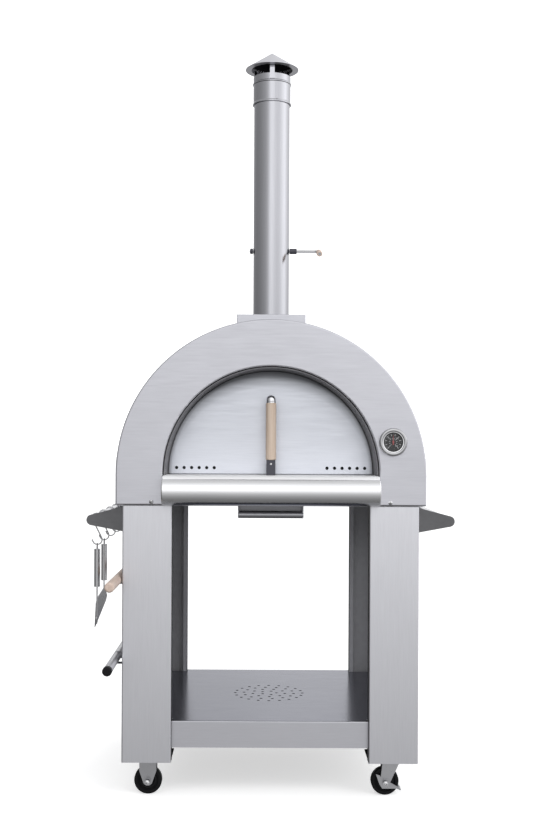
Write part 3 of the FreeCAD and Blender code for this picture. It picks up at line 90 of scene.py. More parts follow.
class Surface:
    """A procedural material whose colour, roughness and relief follow stretched noise."""

    def __init__(self, name, colour, metallic, roughness):
        self.material = bpy.data.materials.new(name)
        self.material.use_nodes = True
        self.tree = self.material.node_tree
        self.shader = self.tree.nodes["Principled BSDF"]
        self.shader.inputs["Metallic"].default_value = metallic
        self.shader.inputs["Roughness"].default_value = roughness
        self.shader.inputs["Base Color"].default_value = (*colour, 1)
        self.material.diffuse_color = (*colour, 1)
        self.colour = self.constant_colour(colour)
        self.coordinates = self.tree.nodes.new("ShaderNodeTexCoord").outputs["Object"]

    def node(self, kind, **settings):
        """A new shader node, by the end of its type's name."""
        made = self.tree.nodes.new("ShaderNode" + kind)
        for key, value in settings.items():
            setattr(made, key, value)
        return made

    def link(self, source, target):
        self.tree.links.new(source, target)

    def constant_colour(self, colour):
        """A node's output that holds one colour."""
        made = self.node("RGB")
        made.outputs[0].default_value = (*colour, 1)
        return made.outputs[0]

    def noise(self, scale, stretch=EVEN, detail=4):
        """Noise in the object's own space, stretched along an axis."""
        mapping = self.node("Mapping")
        mapping.inputs["Scale"].default_value = stretch
        self.link(self.coordinates, mapping.inputs["Vector"])
        texture = self.node("TexNoise")
        texture.inputs["Scale"].default_value = scale
        texture.inputs["Detail"].default_value = detail
        texture.inputs["Roughness"].default_value = 0.5
        self.link(mapping.outputs[0], texture.inputs["Vector"])
        return texture.outputs["Fac"]

    def ranged(self, value, low, high, start=0.3, end=0.7):
        """Maps part of a value's range to new limits."""
        made = self.node("MapRange")
        made.inputs["From Min"].default_value = start
        made.inputs["From Max"].default_value = end
        made.inputs["To Min"].default_value = low
        made.inputs["To Max"].default_value = high
        self.link(value, made.inputs["Value"])
        return made.outputs[0]

    def axis(self, name):
        """One coordinate of a point on the surface."""
        split = self.node("SeparateXYZ")
        self.link(self.coordinates, split.inputs[0])
        return split.outputs[name]

    def blend(self, factor, colour):
        """Mixes another colour over the current one."""
        mix = self.node("Mix", data_type="RGBA")
        self.link(factor, mix.inputs["Factor"])
        self.link(self.colour, mix.inputs["A"])
        mix.inputs["B"].default_value = (*colour, 1)
        self.colour = mix.outputs["Result"]
        return self

    def shade(self, factor):
        """Multiplies the current colour by a value."""
        scale = self.node("VectorMath", operation="SCALE")
        self.link(self.colour, scale.inputs[0])
        self.link(factor, scale.inputs["Scale"])
        self.colour = scale.outputs[0]
        return self

    def mottled(self, scale, amount, stretch=EVEN):
        """Lightens and darkens the colour by noise."""
        value = self.noise(scale, stretch)
        return self.shade(self.ranged(value, 1 - amount, 1 + amount))

    def brushed(self, low, high, scale, stretch):
        """Varies the roughness between two limits by noise."""
        varied = self.ranged(self.noise(scale, stretch), low, high)
        self.link(varied, self.shader.inputs["Roughness"])
        return self

    def relief(self, strength, distance, value):
        """Raises the surface a little by a value."""
        bump = self.node("Bump")
        bump.inputs["Strength"].default_value = strength
        bump.inputs["Distance"].default_value = distance
        self.link(value, bump.inputs["Height"])
        self.link(bump.outputs[0], self.shader.inputs["Normal"])
        return self

    def done(self):
        """The finished material."""
        self.link(self.colour, self.shader.inputs["Base Color"])
        return self.material


def brushed_metal(name, colour, roughness, grain=EVEN, metallic=1.0, spread=0.05, tint=0.03):
    """Sheet metal with a fine grain: a small scale across the grain and a long one along it."""
    made = Surface(name, colour, metallic, roughness)
    made.mottled(2.2, tint)
    made.mottled(STREAKS, 0.02, grain)
    made.brushed(roughness - spread, roughness + spread, BRUSHING, grain)
    made.relief(0.03, 0.0002, made.noise(SCRATCHES, grain))
    return made.done()


def painted(name, colour, roughness, scale=60, tint=0.05, relief=0.05, gloss=0.5):
    """A coated, moulded or mineral surface, with a slightly uneven tone."""
    made = Surface(name, colour, 0, roughness)
    made.shader.inputs["Specular IOR Level"].default_value = gloss
    made.mottled(scale, tint)
    made.brushed(roughness - 0.06, roughness + 0.06, scale, EVEN)
    made.relief(relief, 0.0004, made.noise(scale * 6))
    return made.done()


def wooden(name, pale, dark, axis):
    """Light wood with a straight grain along one axis."""
    made = Surface(name, pale, 0, 0.5)
    along = {"y": (1, 0.06, 1), "z": (1, 1, 0.06)}[axis]
    made.blend(made.ranged(made.noise(160, along, 5), 0, 0.75, 0.4, 0.7), dark)
    made.mottled(30, 0.06, along)
    made.brushed(0.42, 0.58, 120, along)
    made.relief(0.12, 0.0004, made.noise(420, along))
    return made.done()


def make_leg_steel():
    """The legs' sheet, with painted shade that darkens it towards the floor."""
    made = Surface("leg_steel", (0.78, 0.78, 0.815), 1.0, 0.42)
    made.shade(made.ranged(made.axis("Z"), 0.82, 1.0, 0.1, 0.75))
    made.mottled(STREAKS, 0.02, GRAIN_Z)
    made.brushed(0.37, 0.47, BRUSHING, GRAIN_Z)
    made.relief(0.03, 0.0002, made.noise(SCRATCHES, GRAIN_Z))
    return made.done()


def arch_reach(made, squeeze):
    """The distance from the arch's centre, with the width scaled first."""
    split = made.node("SeparateXYZ")
    made.link(made.coordinates, split.inputs[0])
    rise = made.node("Math", operation="SUBTRACT")
    rise.inputs[1].default_value = ARCH
    made.link(split.outputs["Z"], rise.inputs[0])
    across = made.node("Math", operation="MULTIPLY")
    across.inputs[1].default_value = squeeze
    made.link(split.outputs["X"], across.inputs[0])
    plan = made.node("CombineXYZ")
    made.link(across.outputs[0], plan.inputs["X"])
    made.link(rise.outputs[0], plan.inputs["Y"])
    length = made.node("VectorMath", operation="LENGTH")
    made.link(plan.outputs[0], length.inputs[0])
    return length.outputs["Value"]


def make_door_steel():
    """The door's sheet, with painted shade under the crown of the arch, along its edge and over its
    upper part.
    """
    made = Surface("door_steel", (0.83, 0.85, 0.91), 1.0, 0.42)
    under_crown = arch_reach(made, 0.87)
    made.shade(made.ranged(under_crown, 1.0, 0.68, 0.234, 0.256))
    made.shade(made.ranged(under_crown, 1.0, 0.38, 0.256, 0.268))
    made.shade(made.ranged(arch_reach(made, 1.0), 1.0, 0.6, 0.270, 0.281))
    made.shade(made.ranged(made.axis("Z"), 1.0, 0.88, ARCH + 0.01, ARCH + 0.12))
    made.mottled(STREAKS, 0.02, GRAIN_X)
    made.brushed(0.37, 0.47, BRUSHING, GRAIN_X)
    return made.done()


def make_hearth_steel():
    """The hearth landing: pale and hazy in front of the door, painted light as if lit from above,
    with painted shade behind it, where it lies under the door.
    """
    made = Surface("hearth_steel", (0.95, 0.95, 0.96), 0.2, 0.6)
    made.shade(made.ranged(made.axis("Y"), 1.0, 0.08, at(0.106), at(0.112)))
    made.mottled(STREAKS, 0.02, GRAIN_X)
    made.brushed(0.55, 0.65, BRUSHING, GRAIN_X)
    return made.done()


def make_pull_steel():
    """The ash drawer's front, in shadow above its bright lower lip."""
    made = Surface("pull_steel", (0.36, 0.36, 0.38), 1.0, 0.3)
    made.shade(made.ranged(made.axis("Z"), 1.0, 0.5, 0.762, 0.770))
    made.mottled(STREAKS, 0.02, GRAIN_X)
    made.brushed(0.26, 0.36, BRUSHING, GRAIN_X)
    return made.done()


def make_dark_metal(name, colour, roughness):
    """Dull, dark steel with patchy tone."""
    made = Surface(name, colour, 0.7, roughness)
    made.mottled(14, 0.08)
    made.brushed(roughness - 0.08, roughness + 0.08, 90, EVEN)
    made.relief(0.04, 0.0003, made.noise(300))
    return made.done()


PANEL = brushed_metal("panel_steel", (0.65, 0.65, 0.69), 0.42, GRAIN_X)
SHELL = brushed_metal("shell_steel", (0.60, 0.60, 0.635), 0.42, GRAIN_Y)
LEG = make_leg_steel()
APRON = brushed_metal("apron_steel", (0.60, 0.60, 0.635), 0.42, GRAIN_X)
# Painted shade and reflection: a dark copy of the apron's steel for the bottom shelf's flat top,
# which lies in the cabinet's shade.
SHELF = brushed_metal("shelf_steel", (0.195, 0.20, 0.245), 0.2, GRAIN_X)
DOOR = make_door_steel()
BULLNOSE = brushed_metal("bullnose_steel", (0.86, 0.86, 0.87), 0.22, (0.03, 1, 1), spread=0.03)
# Painted light: a paler, rougher copy of the bullnose steel for its upward faces, as if lit from
# above.
BULLNOSE_TOP = brushed_metal("bullnose_top_steel", (0.95, 0.95, 0.96), 0.6, GRAIN_X, 0.2)
HEARTH = make_hearth_steel()
FLUE = brushed_metal("flue_steel", (0.51, 0.51, 0.54), 0.17, (1, 1, 0.03), spread=0.04)
CAP = brushed_metal("cap_steel", (0.72, 0.72, 0.755), 0.34)
BRIGHT = brushed_metal("bright_steel", (0.92, 0.92, 0.94), 0.25)
BLADE = brushed_metal("blade_steel", (0.70, 0.70, 0.72), 0.34, (1, 0.04, 1))
TOOL = brushed_metal("tool_steel", (0.58, 0.58, 0.59), 0.3, GRAIN_Z)
PULL = make_pull_steel()
RIM = brushed_metal("rim_chrome", (0.50, 0.50, 0.51), 0.10, spread=0.03, tint=0.02)
CHROME = brushed_metal("chrome_plate", (0.80, 0.80, 0.81), 0.08, spread=0.02, tint=0.01)
ZINC = brushed_metal("zinc_plate", (0.44, 0.44, 0.455), 0.36, spread=0.1, tint=0.12)
DARK = make_dark_metal("dark_steel", (0.085, 0.085, 0.10), 0.4)
PLATE = make_dark_metal("plate_steel", (0.15, 0.15, 0.155), 0.42)
# Painted shade: near-black for faces in shade inside the legs, in and under the bottom shelf, and
# under the cap.
SHADE = painted("shaded_steel", (0.019, 0.019, 0.022), 0.5, gloss=0.03)
# Painted shade, less deep: the rear legs' inner faces that look forward.
LIP = painted("leg_lip_steel", (0.30, 0.30, 0.32), 0.5)
# A dark grey for the mouth's liner and the chamber.
CHAMBER_GREY = painted("chamber_steel", (0.16, 0.157, 0.167), 0.55, 25, 0.15)
SEAL = painted("door_seal_fibre", (0.17, 0.168, 0.175), 0.7, 60, 0.1)
LID = painted("plug_steel", (0.02, 0.02, 0.022), 0.6)
STONE = painted("fired_clay", (0.60, 0.53, 0.44), 0.85, 40, 0.12, 0.4)
FIBRE = painted("ceramic_fibre", (0.78, 0.76, 0.72), 0.95, 90, 0.08, 0.6)
RUBBER = painted("wheel_rubber", (0.006, 0.006, 0.007), 0.5, 50, 0.1, gloss=0.15)
PLASTIC = painted("black_plastic", (0.006, 0.006, 0.007), 0.42, 80, 0.08, gloss=0.2)
DIAL = painted("dial_black", (0.010, 0.010, 0.010), 0.5, 200, 0.08, gloss=0.1)
MARK = painted("dial_marks", (0.42, 0.42, 0.43), 0.5, 200, 0.05)
NEEDLE = painted("needle_red", (0.34, 0.06, 0.06), 0.45, 200, 0.05, gloss=0.2)
# Painted shade: near-black for the screws' cross recesses and inside the gauge's case.
RECESS = painted("painted_recess_shade", (0.008, 0.008, 0.008), 0.6)
WOOD_UP = wooden("wood_upright", (0.63, 0.515, 0.42), (0.52, 0.395, 0.30), "z")
WOOD_LONG = wooden("wood_lengthwise", (0.68, 0.55, 0.47), (0.54, 0.40, 0.33), "y")


def make_glass():
    """The thermometer's lens, nearly clear."""
    made = Surface("gauge_glass", (0.95, 0.97, 0.98), 0, 0.04)
    made.shader.inputs["Alpha"].default_value = 0.03
    made.shader.inputs["Specular IOR Level"].default_value = 0.2
    made.mottled(90, 0.02)
    return made.done()


GLASS = make_glass()

NODE_SURFACES = {
    PANEL: "face_panel rear_panel flue_collar",
    SHELL: "outer_shell",
    LEG: " ".join(LEGS),
    APRON: "bottom_shelf base_pan",
    DOOR: "door_panel",
    PULL: "ash_pull ash_tray drawer_rails",
    BULLNOSE: "front_shelf",
    FLUE: "flue_pipe cap_sleeve cap_straps",
    CAP: "cap_cone",
    BRIGHT: "door_rod handle_tubes",
    BLADE: "peel_blade ash_scraper",
    TOOL: "hook_1 hook_2 hook_3 hook_4 poker turner damper_rod",
    CHROME: "thermometer_case dome_screws",
    ZINC: "rigid_forks swivel_plates swivel_fork_front swivel_fork_rear"
    " brake_pedal_front brake_pedal_rear",
    DARK: "door_bracket damper_plate damper_collars tool_hangers",
    HEARTH: "hearth_plate",
    PLATE: "handle_plates",
    CHAMBER_GREY: "arch_liner cooking_chamber",
    LID: "door_plug",
    STONE: "hearth_stones",
    FIBRE: "insulation",
    RUBBER: "wheel_front_left wheel_front_right wheel_rear_left wheel_rear_right",
    PLASTIC: "scraper_cap",
    DIAL: "thermometer_dial",
    NEEDLE: "thermometer_needle",
    GLASS: "thermometer_lens",
    WOOD_UP: "door_grip",
    WOOD_LONG: "peel_handle damper_grip",
}


def dress_nodes():
    """Gives every CAD node its main surface."""
    for surface, names in NODE_SURFACES.items():
        for name in names.split():
            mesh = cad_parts[name].data
            mesh.materials.clear()
            mesh.materials.append(surface)


def dress_faces(name, material, chosen):
    """Gives the faces that a test chooses a second surface."""
    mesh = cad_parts[name].data
    mesh.materials.append(material)
    for face in mesh.polygons:
        if chosen(face.center, face.normal):
            face.material_index = len(mesh.materials) - 1


def dress_leg_insides():
    """The folded legs get painted shade inside, lighter on the rear legs' forward faces; only their
    outer faces keep the plain steel.
    """
    for name in LEGS:
        side = -1 if name.endswith("left") else 1
        end = -1 if "front" in name else 1
        face_y = FRONT if end < 0 else REAR

        def in_shade(centre, normal, side=side, end=end, face_y=face_y):
            on_face = abs(centre.y - face_y) < LEG_BEND and normal.y * end > 0.2
            on_side = abs(abs(centre.x) - LEG_SIDE) < LEG_BEND and normal.x * side > 0.2
            return not (on_face or on_side)

        dress_faces(name, SHADE, in_shade)

    for name in ("leg_rear_left", "leg_rear_right"):
        dress_faces(name, LIP, lambda centre, normal: normal.y < -0.9)


def dress_shelf_holes():
    """Painted shade on the walls of the drain holes and on the tray's folds underneath."""
    middle = Vector((0, (FRONT + REAR) / 2))

    def in_shade(centre, normal):
        in_hole = (centre.xy - middle).length < HOLE_FIELD and abs(normal.z) < 0.5
        underneath = normal.z < -0.5 and centre.z > 0.15
        return in_hole or underneath

    dress_faces("bottom_shelf", SHADE, in_shade)


def dress_folds():
    """Second surfaces: painted shade under the cap and inside the gauge's case, painted light on the
    front shelf's flat top, and painted shade on the bottom shelf's flat top.
    """
    axis = Vector((0, FLUE_Y))

    def under_cap(centre, normal):
        return normal.z < 0.2 and (centre.xy - axis).length < CAP_MOUTH

    def in_gauge(centre, normal):
        return math.hypot(centre.x - GAUGE.x, centre.z - GAUGE.z) < GAUGE_BORE

    dress_faces("cap_cone", SHADE, under_cap)
    dress_faces("front_shelf", BULLNOSE_TOP, lambda centre, normal: normal.z > 0.8)
    dress_faces("bottom_shelf", SHELF, lambda centre, normal: normal.z > 0.9)
    dress_faces("thermometer_case", RECESS, in_gauge)


# ---------------------------------------------------------------- meshes


def add_mesh(name, build, material, body, smooth=True):
    """A new piece made by a bmesh function, riding on a body."""
    mesh = bpy.data.meshes.new(name)
    shape = bmesh.new()
    build(shape)
    shape.to_mesh(mesh)
    shape.free()
    mesh.materials.append(material)
    for face in mesh.polygons:
        face.use_smooth = smooth
    made = bpy.data.objects.new(name, mesh)
    bpy.context.scene.collection.objects.link(made)
    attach(made, body)


def box_shape(low, high, turn=None):
    """A bmesh function for a box between two corners, turned about its middle."""
    low, high = Vector(low), Vector(high)

    def build(shape):
        place = Matrix.Translation((low + high) / 2)
        if turn:
            place = place @ turn
        size = Matrix.Diagonal((*(high - low), 1))
        bmesh.ops.create_cube(shape, size=1, matrix=place @ size)

    return build


def lathe_shape(centre, axis, profile, steps=48):
    """A bmesh function that turns (radius, height) pairs about an axis through a centre."""
    named = {"x": (1, 0, 0), "-x": (-1, 0, 0), "y": (0, 1, 0), "-y": (0, -1, 0)}
    heading = Vector(named[axis]) if isinstance(axis, str) else axis
    turn = heading.to_track_quat("Z", "Y").to_matrix()

    def build(shape):
        rings = []
        for radius, height in profile:
            ring = []
            for step in range(steps):
                angle = 2 * math.pi * step / steps
                spot = Vector((radius * math.cos(angle), radius * math.sin(angle), height))
                ring.append(shape.verts.new(Vector(centre) + turn @ spot))
            rings.append(ring)
        for lower, upper in zip(rings, rings[1:]):
            for step in range(steps):
                after = (step + 1) % steps
                shape.faces.new((lower[step], lower[after], upper[after], upper[step]))
        bmesh.ops.remove_doubles(shape, verts=shape.verts, dist=1e-7)
        bmesh.ops.recalc_face_normals(shape, faces=shape.faces)

    return build


def several(builders):
    """A bmesh function that runs several others, so that they make one piece."""

    def build(shape):
        for part in builders:
            part(shape)

    return build


# ---------------------------------------------------------------- small fittings


def dome_profile(radius, height, steps=6):
    """A domed head's (radius, height) pairs, from its foot to its crown."""
    ball = (radius * radius + height * height) / (2 * height)
    reach = math.asin(min(1.0, radius / ball))
    angles = [reach * (1 - step / steps) for step in range(steps + 1)]
    profile = [(ball * math.sin(angle), ball * math.cos(angle) - ball + height) for angle in angles]
    return [(0, 0)] + profile


def outward_at(angle):
    """The direction out from the arch's centre, at an angle from +X."""
    return Vector((math.cos(angle), 0, math.sin(angle)))


def cross_shape(middle):
    """A bmesh function for the cross recess in a screw's head."""
    half = Vector((0.0028, 0.0004, 0.0006))
    lean = 0.5
    spins = [Matrix.Rotation(turn + lean, 4, "Y") for turn in (0, math.pi / 2)]
    return several([box_shape(middle - half, middle + half, spin) for spin in spins])


def side_bolts_shape(side):
    """A bmesh function for the four bolt heads on one side."""
    outer_side = 0.3963
    axis = "x" if side > 0 else "-x"
    head = dome_profile(0.0055, 0.003)
    heads = []
    for distance in (0.074, 0.616):
        for level in (0.722, 0.762):
            place = (side * outer_side, at(distance), level)
            heads.append(lathe_shape(place, axis, head, 24))
    return several(heads)


def make_screws():
    """The face screws' cross recesses, the bolts on both sides and the door bracket's screw."""
    for side, hand in ((-1, "left"), (1, "right")):
        middle = Vector((side * 0.317, FRONT - 0.0033, 0.792))
        # The cross is painted shade for the screw head's recess.
        add_mesh("face_screw_cross_" + hand, cross_shape(middle), RECESS, "oven", smooth=False)
        add_mesh("handle_bolts_" + hand, side_bolts_shape(side), BRIGHT, "oven")
    place = (0, at(0.040), 0.8925)
    screw = lathe_shape(place, "-y", dome_profile(0.0035, 0.002), 24)
    add_mesh("bracket_screw", screw, CHROME, "door")


def make_shell_rivets():
    """Low rivets round the skin near both end panels."""
    inset, skin_radius = 0.02, 0.4124
    head = dome_profile(0.004, 0.0014, 4)
    heads = []
    for y in (at(inset), REAR - inset):
        for step in range(9):
            outward = outward_at(math.radians(10 + 20 * step))
            foot = Vector((0, y, ARCH)) + outward * skin_radius
            heads.append(lathe_shape(foot, outward, head, 16))
    add_mesh("shell_rivets", several(heads), BRIGHT, "oven")


def make_door_seal():
    """A thin strip round the liner that closes the gap at the door's edge."""
    near, far = at(0.1108), at(0.1135)
    inner, outer = 0.2814, 0.2848
    overlap = 0.0001
    half = Vector(((outer - inner) / 2, (far - near) / 2, outer * math.radians(1) + overlap))
    bars = []
    for step in range(90):
        angle = math.radians(1 + 2 * step)
        middle = Vector((0, (near + far) / 2, ARCH)) + outward_at(angle) * (inner + outer) / 2
        bars.append(box_shape(middle - half, middle + half, Matrix.Rotation(-angle, 4, "Y")))
    add_mesh("door_seal", several(bars), SEAL, "oven", smooth=False)


def make_bezel():
    """The gauge's rolled chrome rim, rounded so that it mirrors light above and dark below."""
    inner, outer = GAUGE_BORE, 0.0374
    foot, height, steps = 0.0005, 0.0048, 12
    middle, half = (inner + outer) / 2, (outer - inner) / 2
    profile = []
    for step in range(steps + 1):
        angle = math.pi * step / steps
        profile.append((middle + half * math.cos(angle), foot + height * math.sin(angle)))
    profile.append((inner, -0.001))
    place = (GAUGE.x, FRONT - 0.0075, GAUGE.z)
    add_mesh("gauge_rim", lathe_shape(place, "-y", profile, 72), RIM, "oven")


def make_axle_nuts():
    """Flanged six-sided nuts on both ends of each caster's axle."""
    profile = [
        (0, 0), (0.0068, 0), (0.0068, 0.0006),
        (0.0046, 0.0008), (0.0046, 0.0022), (0.003, 0.003),
    ]
    fork_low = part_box("rigid_forks")[0]
    half_fork = CASTER_Y[0] - fork_low[1]
    for name, body, x, y in CASTERS:
        nuts = []
        for axis, side in (("-y", -1), ("y", 1)):
            place = (x, y + side * half_fork, AXLE_Z)
            nuts.append(lathe_shape(place, axis, profile, 6))
        add_mesh("axle_nuts_" + name, several(nuts), CHROME, body, smooth=False)


def make_liner_tabs():
    """Bright spring tabs that show through the liner's row of notches."""
    liner_radius = 0.2845
    half = Vector((0.0004, 0.0028, 0.0018))
    tabs = []
    for step in range(52):
        angle = math.radians(1.6 + 3.4 * step)
        outward = Vector((-math.cos(angle), 0, math.sin(angle)))
        middle = Vector((0, at(0.0125), ARCH)) + outward * liner_radius
        tabs.append(box_shape(middle - half, middle + half, Matrix.Rotation(angle, 4, "Y")))
    add_mesh("liner_tabs", several(tabs), BRIGHT, "oven", smooth=False)


def make_seams():
    """The lapped seam up the front of the cap sleeve, and the pipe's own seam behind."""
    angle, sleeve_radius = math.radians(14), 0.0532
    outward = Vector((math.sin(angle), -math.cos(angle), 0))
    foot = Vector((0, FLUE_Y, 0)) + outward * sleeve_radius
    low, high = foot + Vector((0, 0, 1.9115)), foot + Vector((0, 0, 1.9595))
    half = Vector((0.0030, 0.0005, 0))
    turn = Matrix.Rotation(angle, 4, "Z")
    add_mesh("sleeve_seam", box_shape(low - half, high + half, turn), FLUE, "oven", smooth=False)
    foot = Vector((0, FLUE_Y + FLUE_RADIUS, 0))
    low, high = foot + Vector((0, 0, 1.304)), foot + Vector((0, 0, 1.904))
    half = Vector((0.0025, 0.0006, 0))
    add_mesh("pipe_seam", box_shape(low - half, high + half), FLUE, "oven", smooth=False)


def make_wheel_rims():
    """A pressed ring on each side of every wheel, round the hub."""
    ring = [(0.0165, 0.0088), (0.0165, 0.0104), (0.0235, 0.0104), (0.0235, 0.0088)]
    for name, _, x, y in CASTERS:
        sides = [lathe_shape((x, y, AXLE_Z), axis, ring, 40) for axis in ("y", "-y")]
        add_mesh("wheel_ring_" + name, several(sides), PLASTIC, "wheel_" + name)


def spoke_shape(angle, inner, outer, half_width):
    """A bmesh function for a flat radial mark on the dial, at an angle from straight up."""
    half = Vector((half_width, 0.00012, (outer - inner) / 2))
    turn = Matrix.Rotation(angle, 4, "Y")
    place = Vector((GAUGE.x, DIAL_FACE, GAUGE.z)) + turn @ Vector((0, 0, (inner + outer) / 2))
    return box_shape(place - half, place + half, turn)


def add_dial_number(name, text, angle):
    """A plain upright number on the dial, at an angle from straight up."""
    radius = 0.0140
    letters = bpy.data.curves.new("number", "FONT")
    letters.body = text
    letters.size = 0.0052
    letters.align_x = "CENTER"
    letters.align_y = "CENTER"
    source = bpy.data.objects.new("number", letters)
    bpy.context.scene.collection.objects.link(source)
    bpy.context.view_layer.update()
    mesh = bpy.data.meshes.new_from_object(source)
    bpy.data.objects.remove(source)
    across, up = radius * math.sin(angle), radius * math.cos(angle)
    place = Vector((GAUGE.x + across, DIAL_FACE - 0.0001, GAUGE.z + up))
    mesh.transform(Matrix.Translation(place) @ Matrix.Rotation(math.pi / 2, 4, "X"))
    mesh.materials.clear()
    mesh.materials.append(MARK)
    number = bpy.data.objects.new(name, mesh)
    bpy.context.scene.collection.objects.link(number)
    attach(number, "oven")


def make_gauge_print():
    """Scale blocks, radial marks and plain numbers on the thermometer's dial."""
    start, spacing = -140, 31.1
    spans = [math.radians(start + spacing * step) for step in range(10)]
    marks = [spoke_shape(angle, 0.0165, 0.0222, 0.0008) for angle in spans]
    marks += [spoke_shape(angle, 0.0075, 0.0115, 0.0006) for angle in spans]
    for first in spans[:-1]:
        for part in (1, 2, 3, 4):
            angle = first + math.radians(spacing * part / 5)
            marks.append(spoke_shape(angle, 0.0205, 0.0222, 0.00025))
    add_mesh("dial_scale", several(marks), MARK, "oven", smooth=False)
    for step, angle in enumerate(spans[::3]):
        add_dial_number("dial_number_%d" % step, str(step * 150), angle)


def make_fittings():
    """Every small piece that Blender adds to the CAD model."""
    make_screws()
    make_shell_rivets()
    make_liner_tabs()
    make_door_seal()
    make_bezel()
    make_axle_nuts()
    make_seams()
    make_wheel_rims()
    make_gauge_print()


# ---------------------------------------------------------------- studio


def add_area(name, place, target, size, power):
    """A soft lamp aimed at a target, which doesn't show as a stripe in the metal."""
    data = bpy.data.lights.new(name, "AREA")
    data.shape = "RECTANGLE"
    data.size, data.size_y = size
    data.energy = power
    made = bpy.data.objects.new(name, data)
    made.location = place
    made.rotation_euler = (Vector(target) - Vector(place)).to_track_quat("-Z", "Y").to_euler()
    made.visible_glossy = False
    bpy.context.scene.collection.objects.link(made)


def add_stage_plane(name, corners, material):
    """A flat piece of the studio between four corners."""
    mesh = bpy.data.meshes.new(name)
    mesh.from_pydata(corners, [], [(0, 1, 2, 3)])
    mesh.materials.append(material)
    made = bpy.data.objects.new(name, mesh)
    bpy.context.scene.collection.objects.link(made)
    return made


def add_ramp(tree, source, stops):
    """A smooth grey scale over a value, from (position, brightness) stops, at half strength."""
    ramp = tree.nodes.new("ShaderNodeValToRGB")
    ramp.color_ramp.interpolation = "B_SPLINE"
    points = ramp.color_ramp.elements
    while len(points) < len(stops):
        points.new(0.5)
    for point, (position, value) in zip(points, stops):
        point.position = position
        point.color = (*[value / RAMP_SCALE] * 3, 1)
    tree.links.new(source, ramp.inputs["Fac"])
    return ramp.outputs["Color"]


def add_math(tree, operation, first, second):
    """The output of a math node, from two numbers or other nodes' outputs."""
    made = tree.nodes.new("ShaderNodeMath")
    made.operation = operation
    for socket, value in zip(made.inputs, (first, second)):
        if isinstance(value, (int, float)):
            socket.default_value = value
        else:
            tree.links.new(value, socket)
    return made.outputs[0]


# Brightness by direction. AROUND starts behind the oven and goes by its left at 0.25, its front at
# 0.5 and its right at 0.75. UPWARD goes from straight down to straight up.
AROUND = (
    (0.0, 0.8), (0.09, 0.3), (0.19, 0.23), (0.30, 0.28), (0.39, 0.42), (0.44, 0.6),
    (0.475, 1.15), (0.52, 1.15), (0.58, 0.85), (0.66, 0.9), (0.75, 1.5), (0.81, 0.95),
    (0.89, 0.6), (1.0, 0.8),
)
UPWARD = (
    (0.0, 0.2), (0.09, 0.27), (0.2, 0.35), (0.31, 0.47), (0.43, 0.7), (0.5, 0.95), (0.62, 1.35),
    (0.8, 1.4), (1.0, 0.75),
)
ZENITH = 0.8  # AROUND fades to this overhead
RAMP_SCALE = 2  # a ramp's colours stay under 1, so its brightness is divided by this


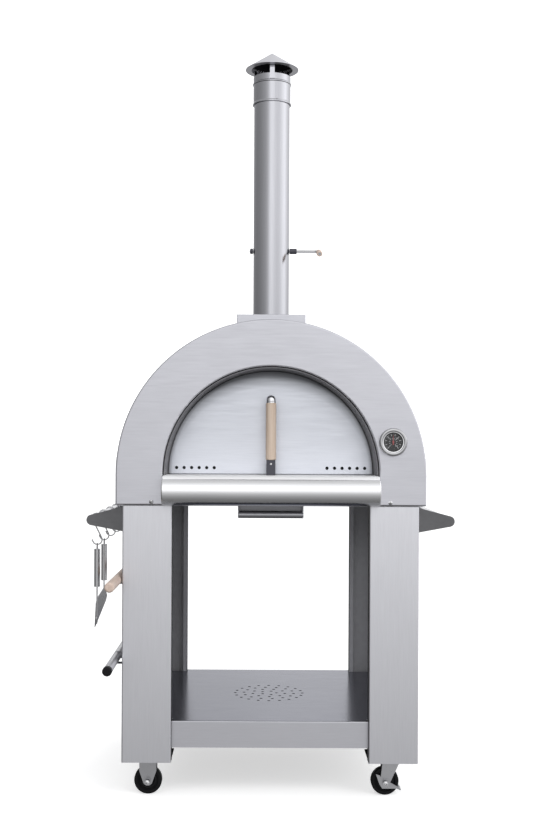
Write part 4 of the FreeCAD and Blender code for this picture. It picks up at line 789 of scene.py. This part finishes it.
def make_world():
    """Light from all round: brightest ahead, to the right and above, dim to the left and below."""
    world = bpy.data.worlds.new("studio")
    bpy.context.scene.world = world
    world.use_nodes = True
    tree = world.node_tree
    coordinates = tree.nodes.new("ShaderNodeTexCoord")
    split = tree.nodes.new("ShaderNodeSeparateXYZ")
    tree.links.new(coordinates.outputs["Generated"], split.inputs[0])
    ahead = add_math(tree, "MULTIPLY", split.outputs["Y"], -1.0)
    turn = add_math(tree, "ARCTAN2", split.outputs["X"], ahead)
    share = add_math(tree, "MULTIPLY_ADD", turn, 1 / (2 * math.pi))
    share.node.inputs[2].default_value = 0.5
    lift = add_math(tree, "MULTIPLY_ADD", split.outputs["Z"], 0.5)
    lift.node.inputs[2].default_value = 0.5
    around = add_ramp(tree, share, AROUND)
    upward = add_ramp(tree, lift, UPWARD)
    square = add_math(tree, "MULTIPLY", split.outputs["Z"], split.outputs["Z"])
    overhead = add_math(tree, "MULTIPLY", square, square)
    missing = add_math(tree, "SUBTRACT", ZENITH / RAMP_SCALE, around)
    around = add_math(tree, "ADD", around, add_math(tree, "MULTIPLY", missing, overhead))
    both = add_math(tree, "MULTIPLY", around, upward)
    strength = add_math(tree, "MULTIPLY", both, RAMP_SCALE * RAMP_SCALE)
    tree.links.new(strength, tree.nodes["Background"].inputs["Strength"])
    tree.nodes["Background"].inputs["Color"].default_value = (0.985, 0.99, 1.0, 1)


def hide_from_light(stage):
    """The camera sees this stage piece, but it neither lights nor shows in the object."""
    stage.visible_diffuse = False
    stage.visible_glossy = False
    stage.visible_transmission = False
    stage.visible_shadow = False


def glowing(name, colour, strength):
    """A nearly even surface that lights itself, for the floor and the backdrop."""
    made = Surface(name, colour, 0, 0.9)
    made.shader.inputs["Emission Color"].default_value = (1, 1, 1, 1)
    made.shader.inputs["Emission Strength"].default_value = strength
    made.mottled(2, 0.005)
    return made.done()


def make_studio():
    """The world's light, a white floor and backdrop, and two soft lamps."""
    make_world()
    reach = 60
    corners = [(-reach, -reach, 0), (reach, -reach, 0), (reach, reach, 0), (-reach, reach, 0)]
    floor = add_stage_plane("floor", corners, glowing("studio_floor", (0.8, 0.8, 0.8), 0.55))
    hide_from_light(floor)
    bpy.ops.mesh.primitive_uv_sphere_add(segments=48, ring_count=24, radius=50)
    backdrop = bpy.context.object
    backdrop.name = "backdrop"
    backdrop.data.materials.append(glowing("studio_backdrop", (0.9, 0.9, 0.9), 1.1))
    hide_from_light(backdrop)
    add_area("key", (1.8, -2.8, 3.2), (0, 0, 1.0), (1.4, 1.4), 40)
    add_area("fill", (-2.2, -2.6, 2.4), (0, 0, 0.9), (1.6, 1.6), 14)


def make_camera():
    """The photograph's viewpoint, with its focal length given in units of the image's height."""
    focal_length, image_height, sensor, distance = 1115, 820, 36, 2.955
    data = bpy.data.cameras.new("camera")
    data.sensor_width = sensor
    data.lens = focal_length * sensor / image_height
    data.shift_x = 0.0171
    data.shift_y = 0.0329
    data.clip_end = 200
    made = bpy.data.objects.new("camera", data)
    made.location = (-0.031, FRONT - distance, 0.965)
    made.rotation_euler = (math.pi / 2, math.radians(-0.27), 0)
    bpy.context.scene.collection.objects.link(made)
    bpy.context.scene.camera = made


bpy.context.scene.view_settings.view_transform = "Standard"
dress_nodes()
dress_leg_insides()
dress_shelf_holes()
dress_folds()
make_fittings()
make_studio()
make_camera()
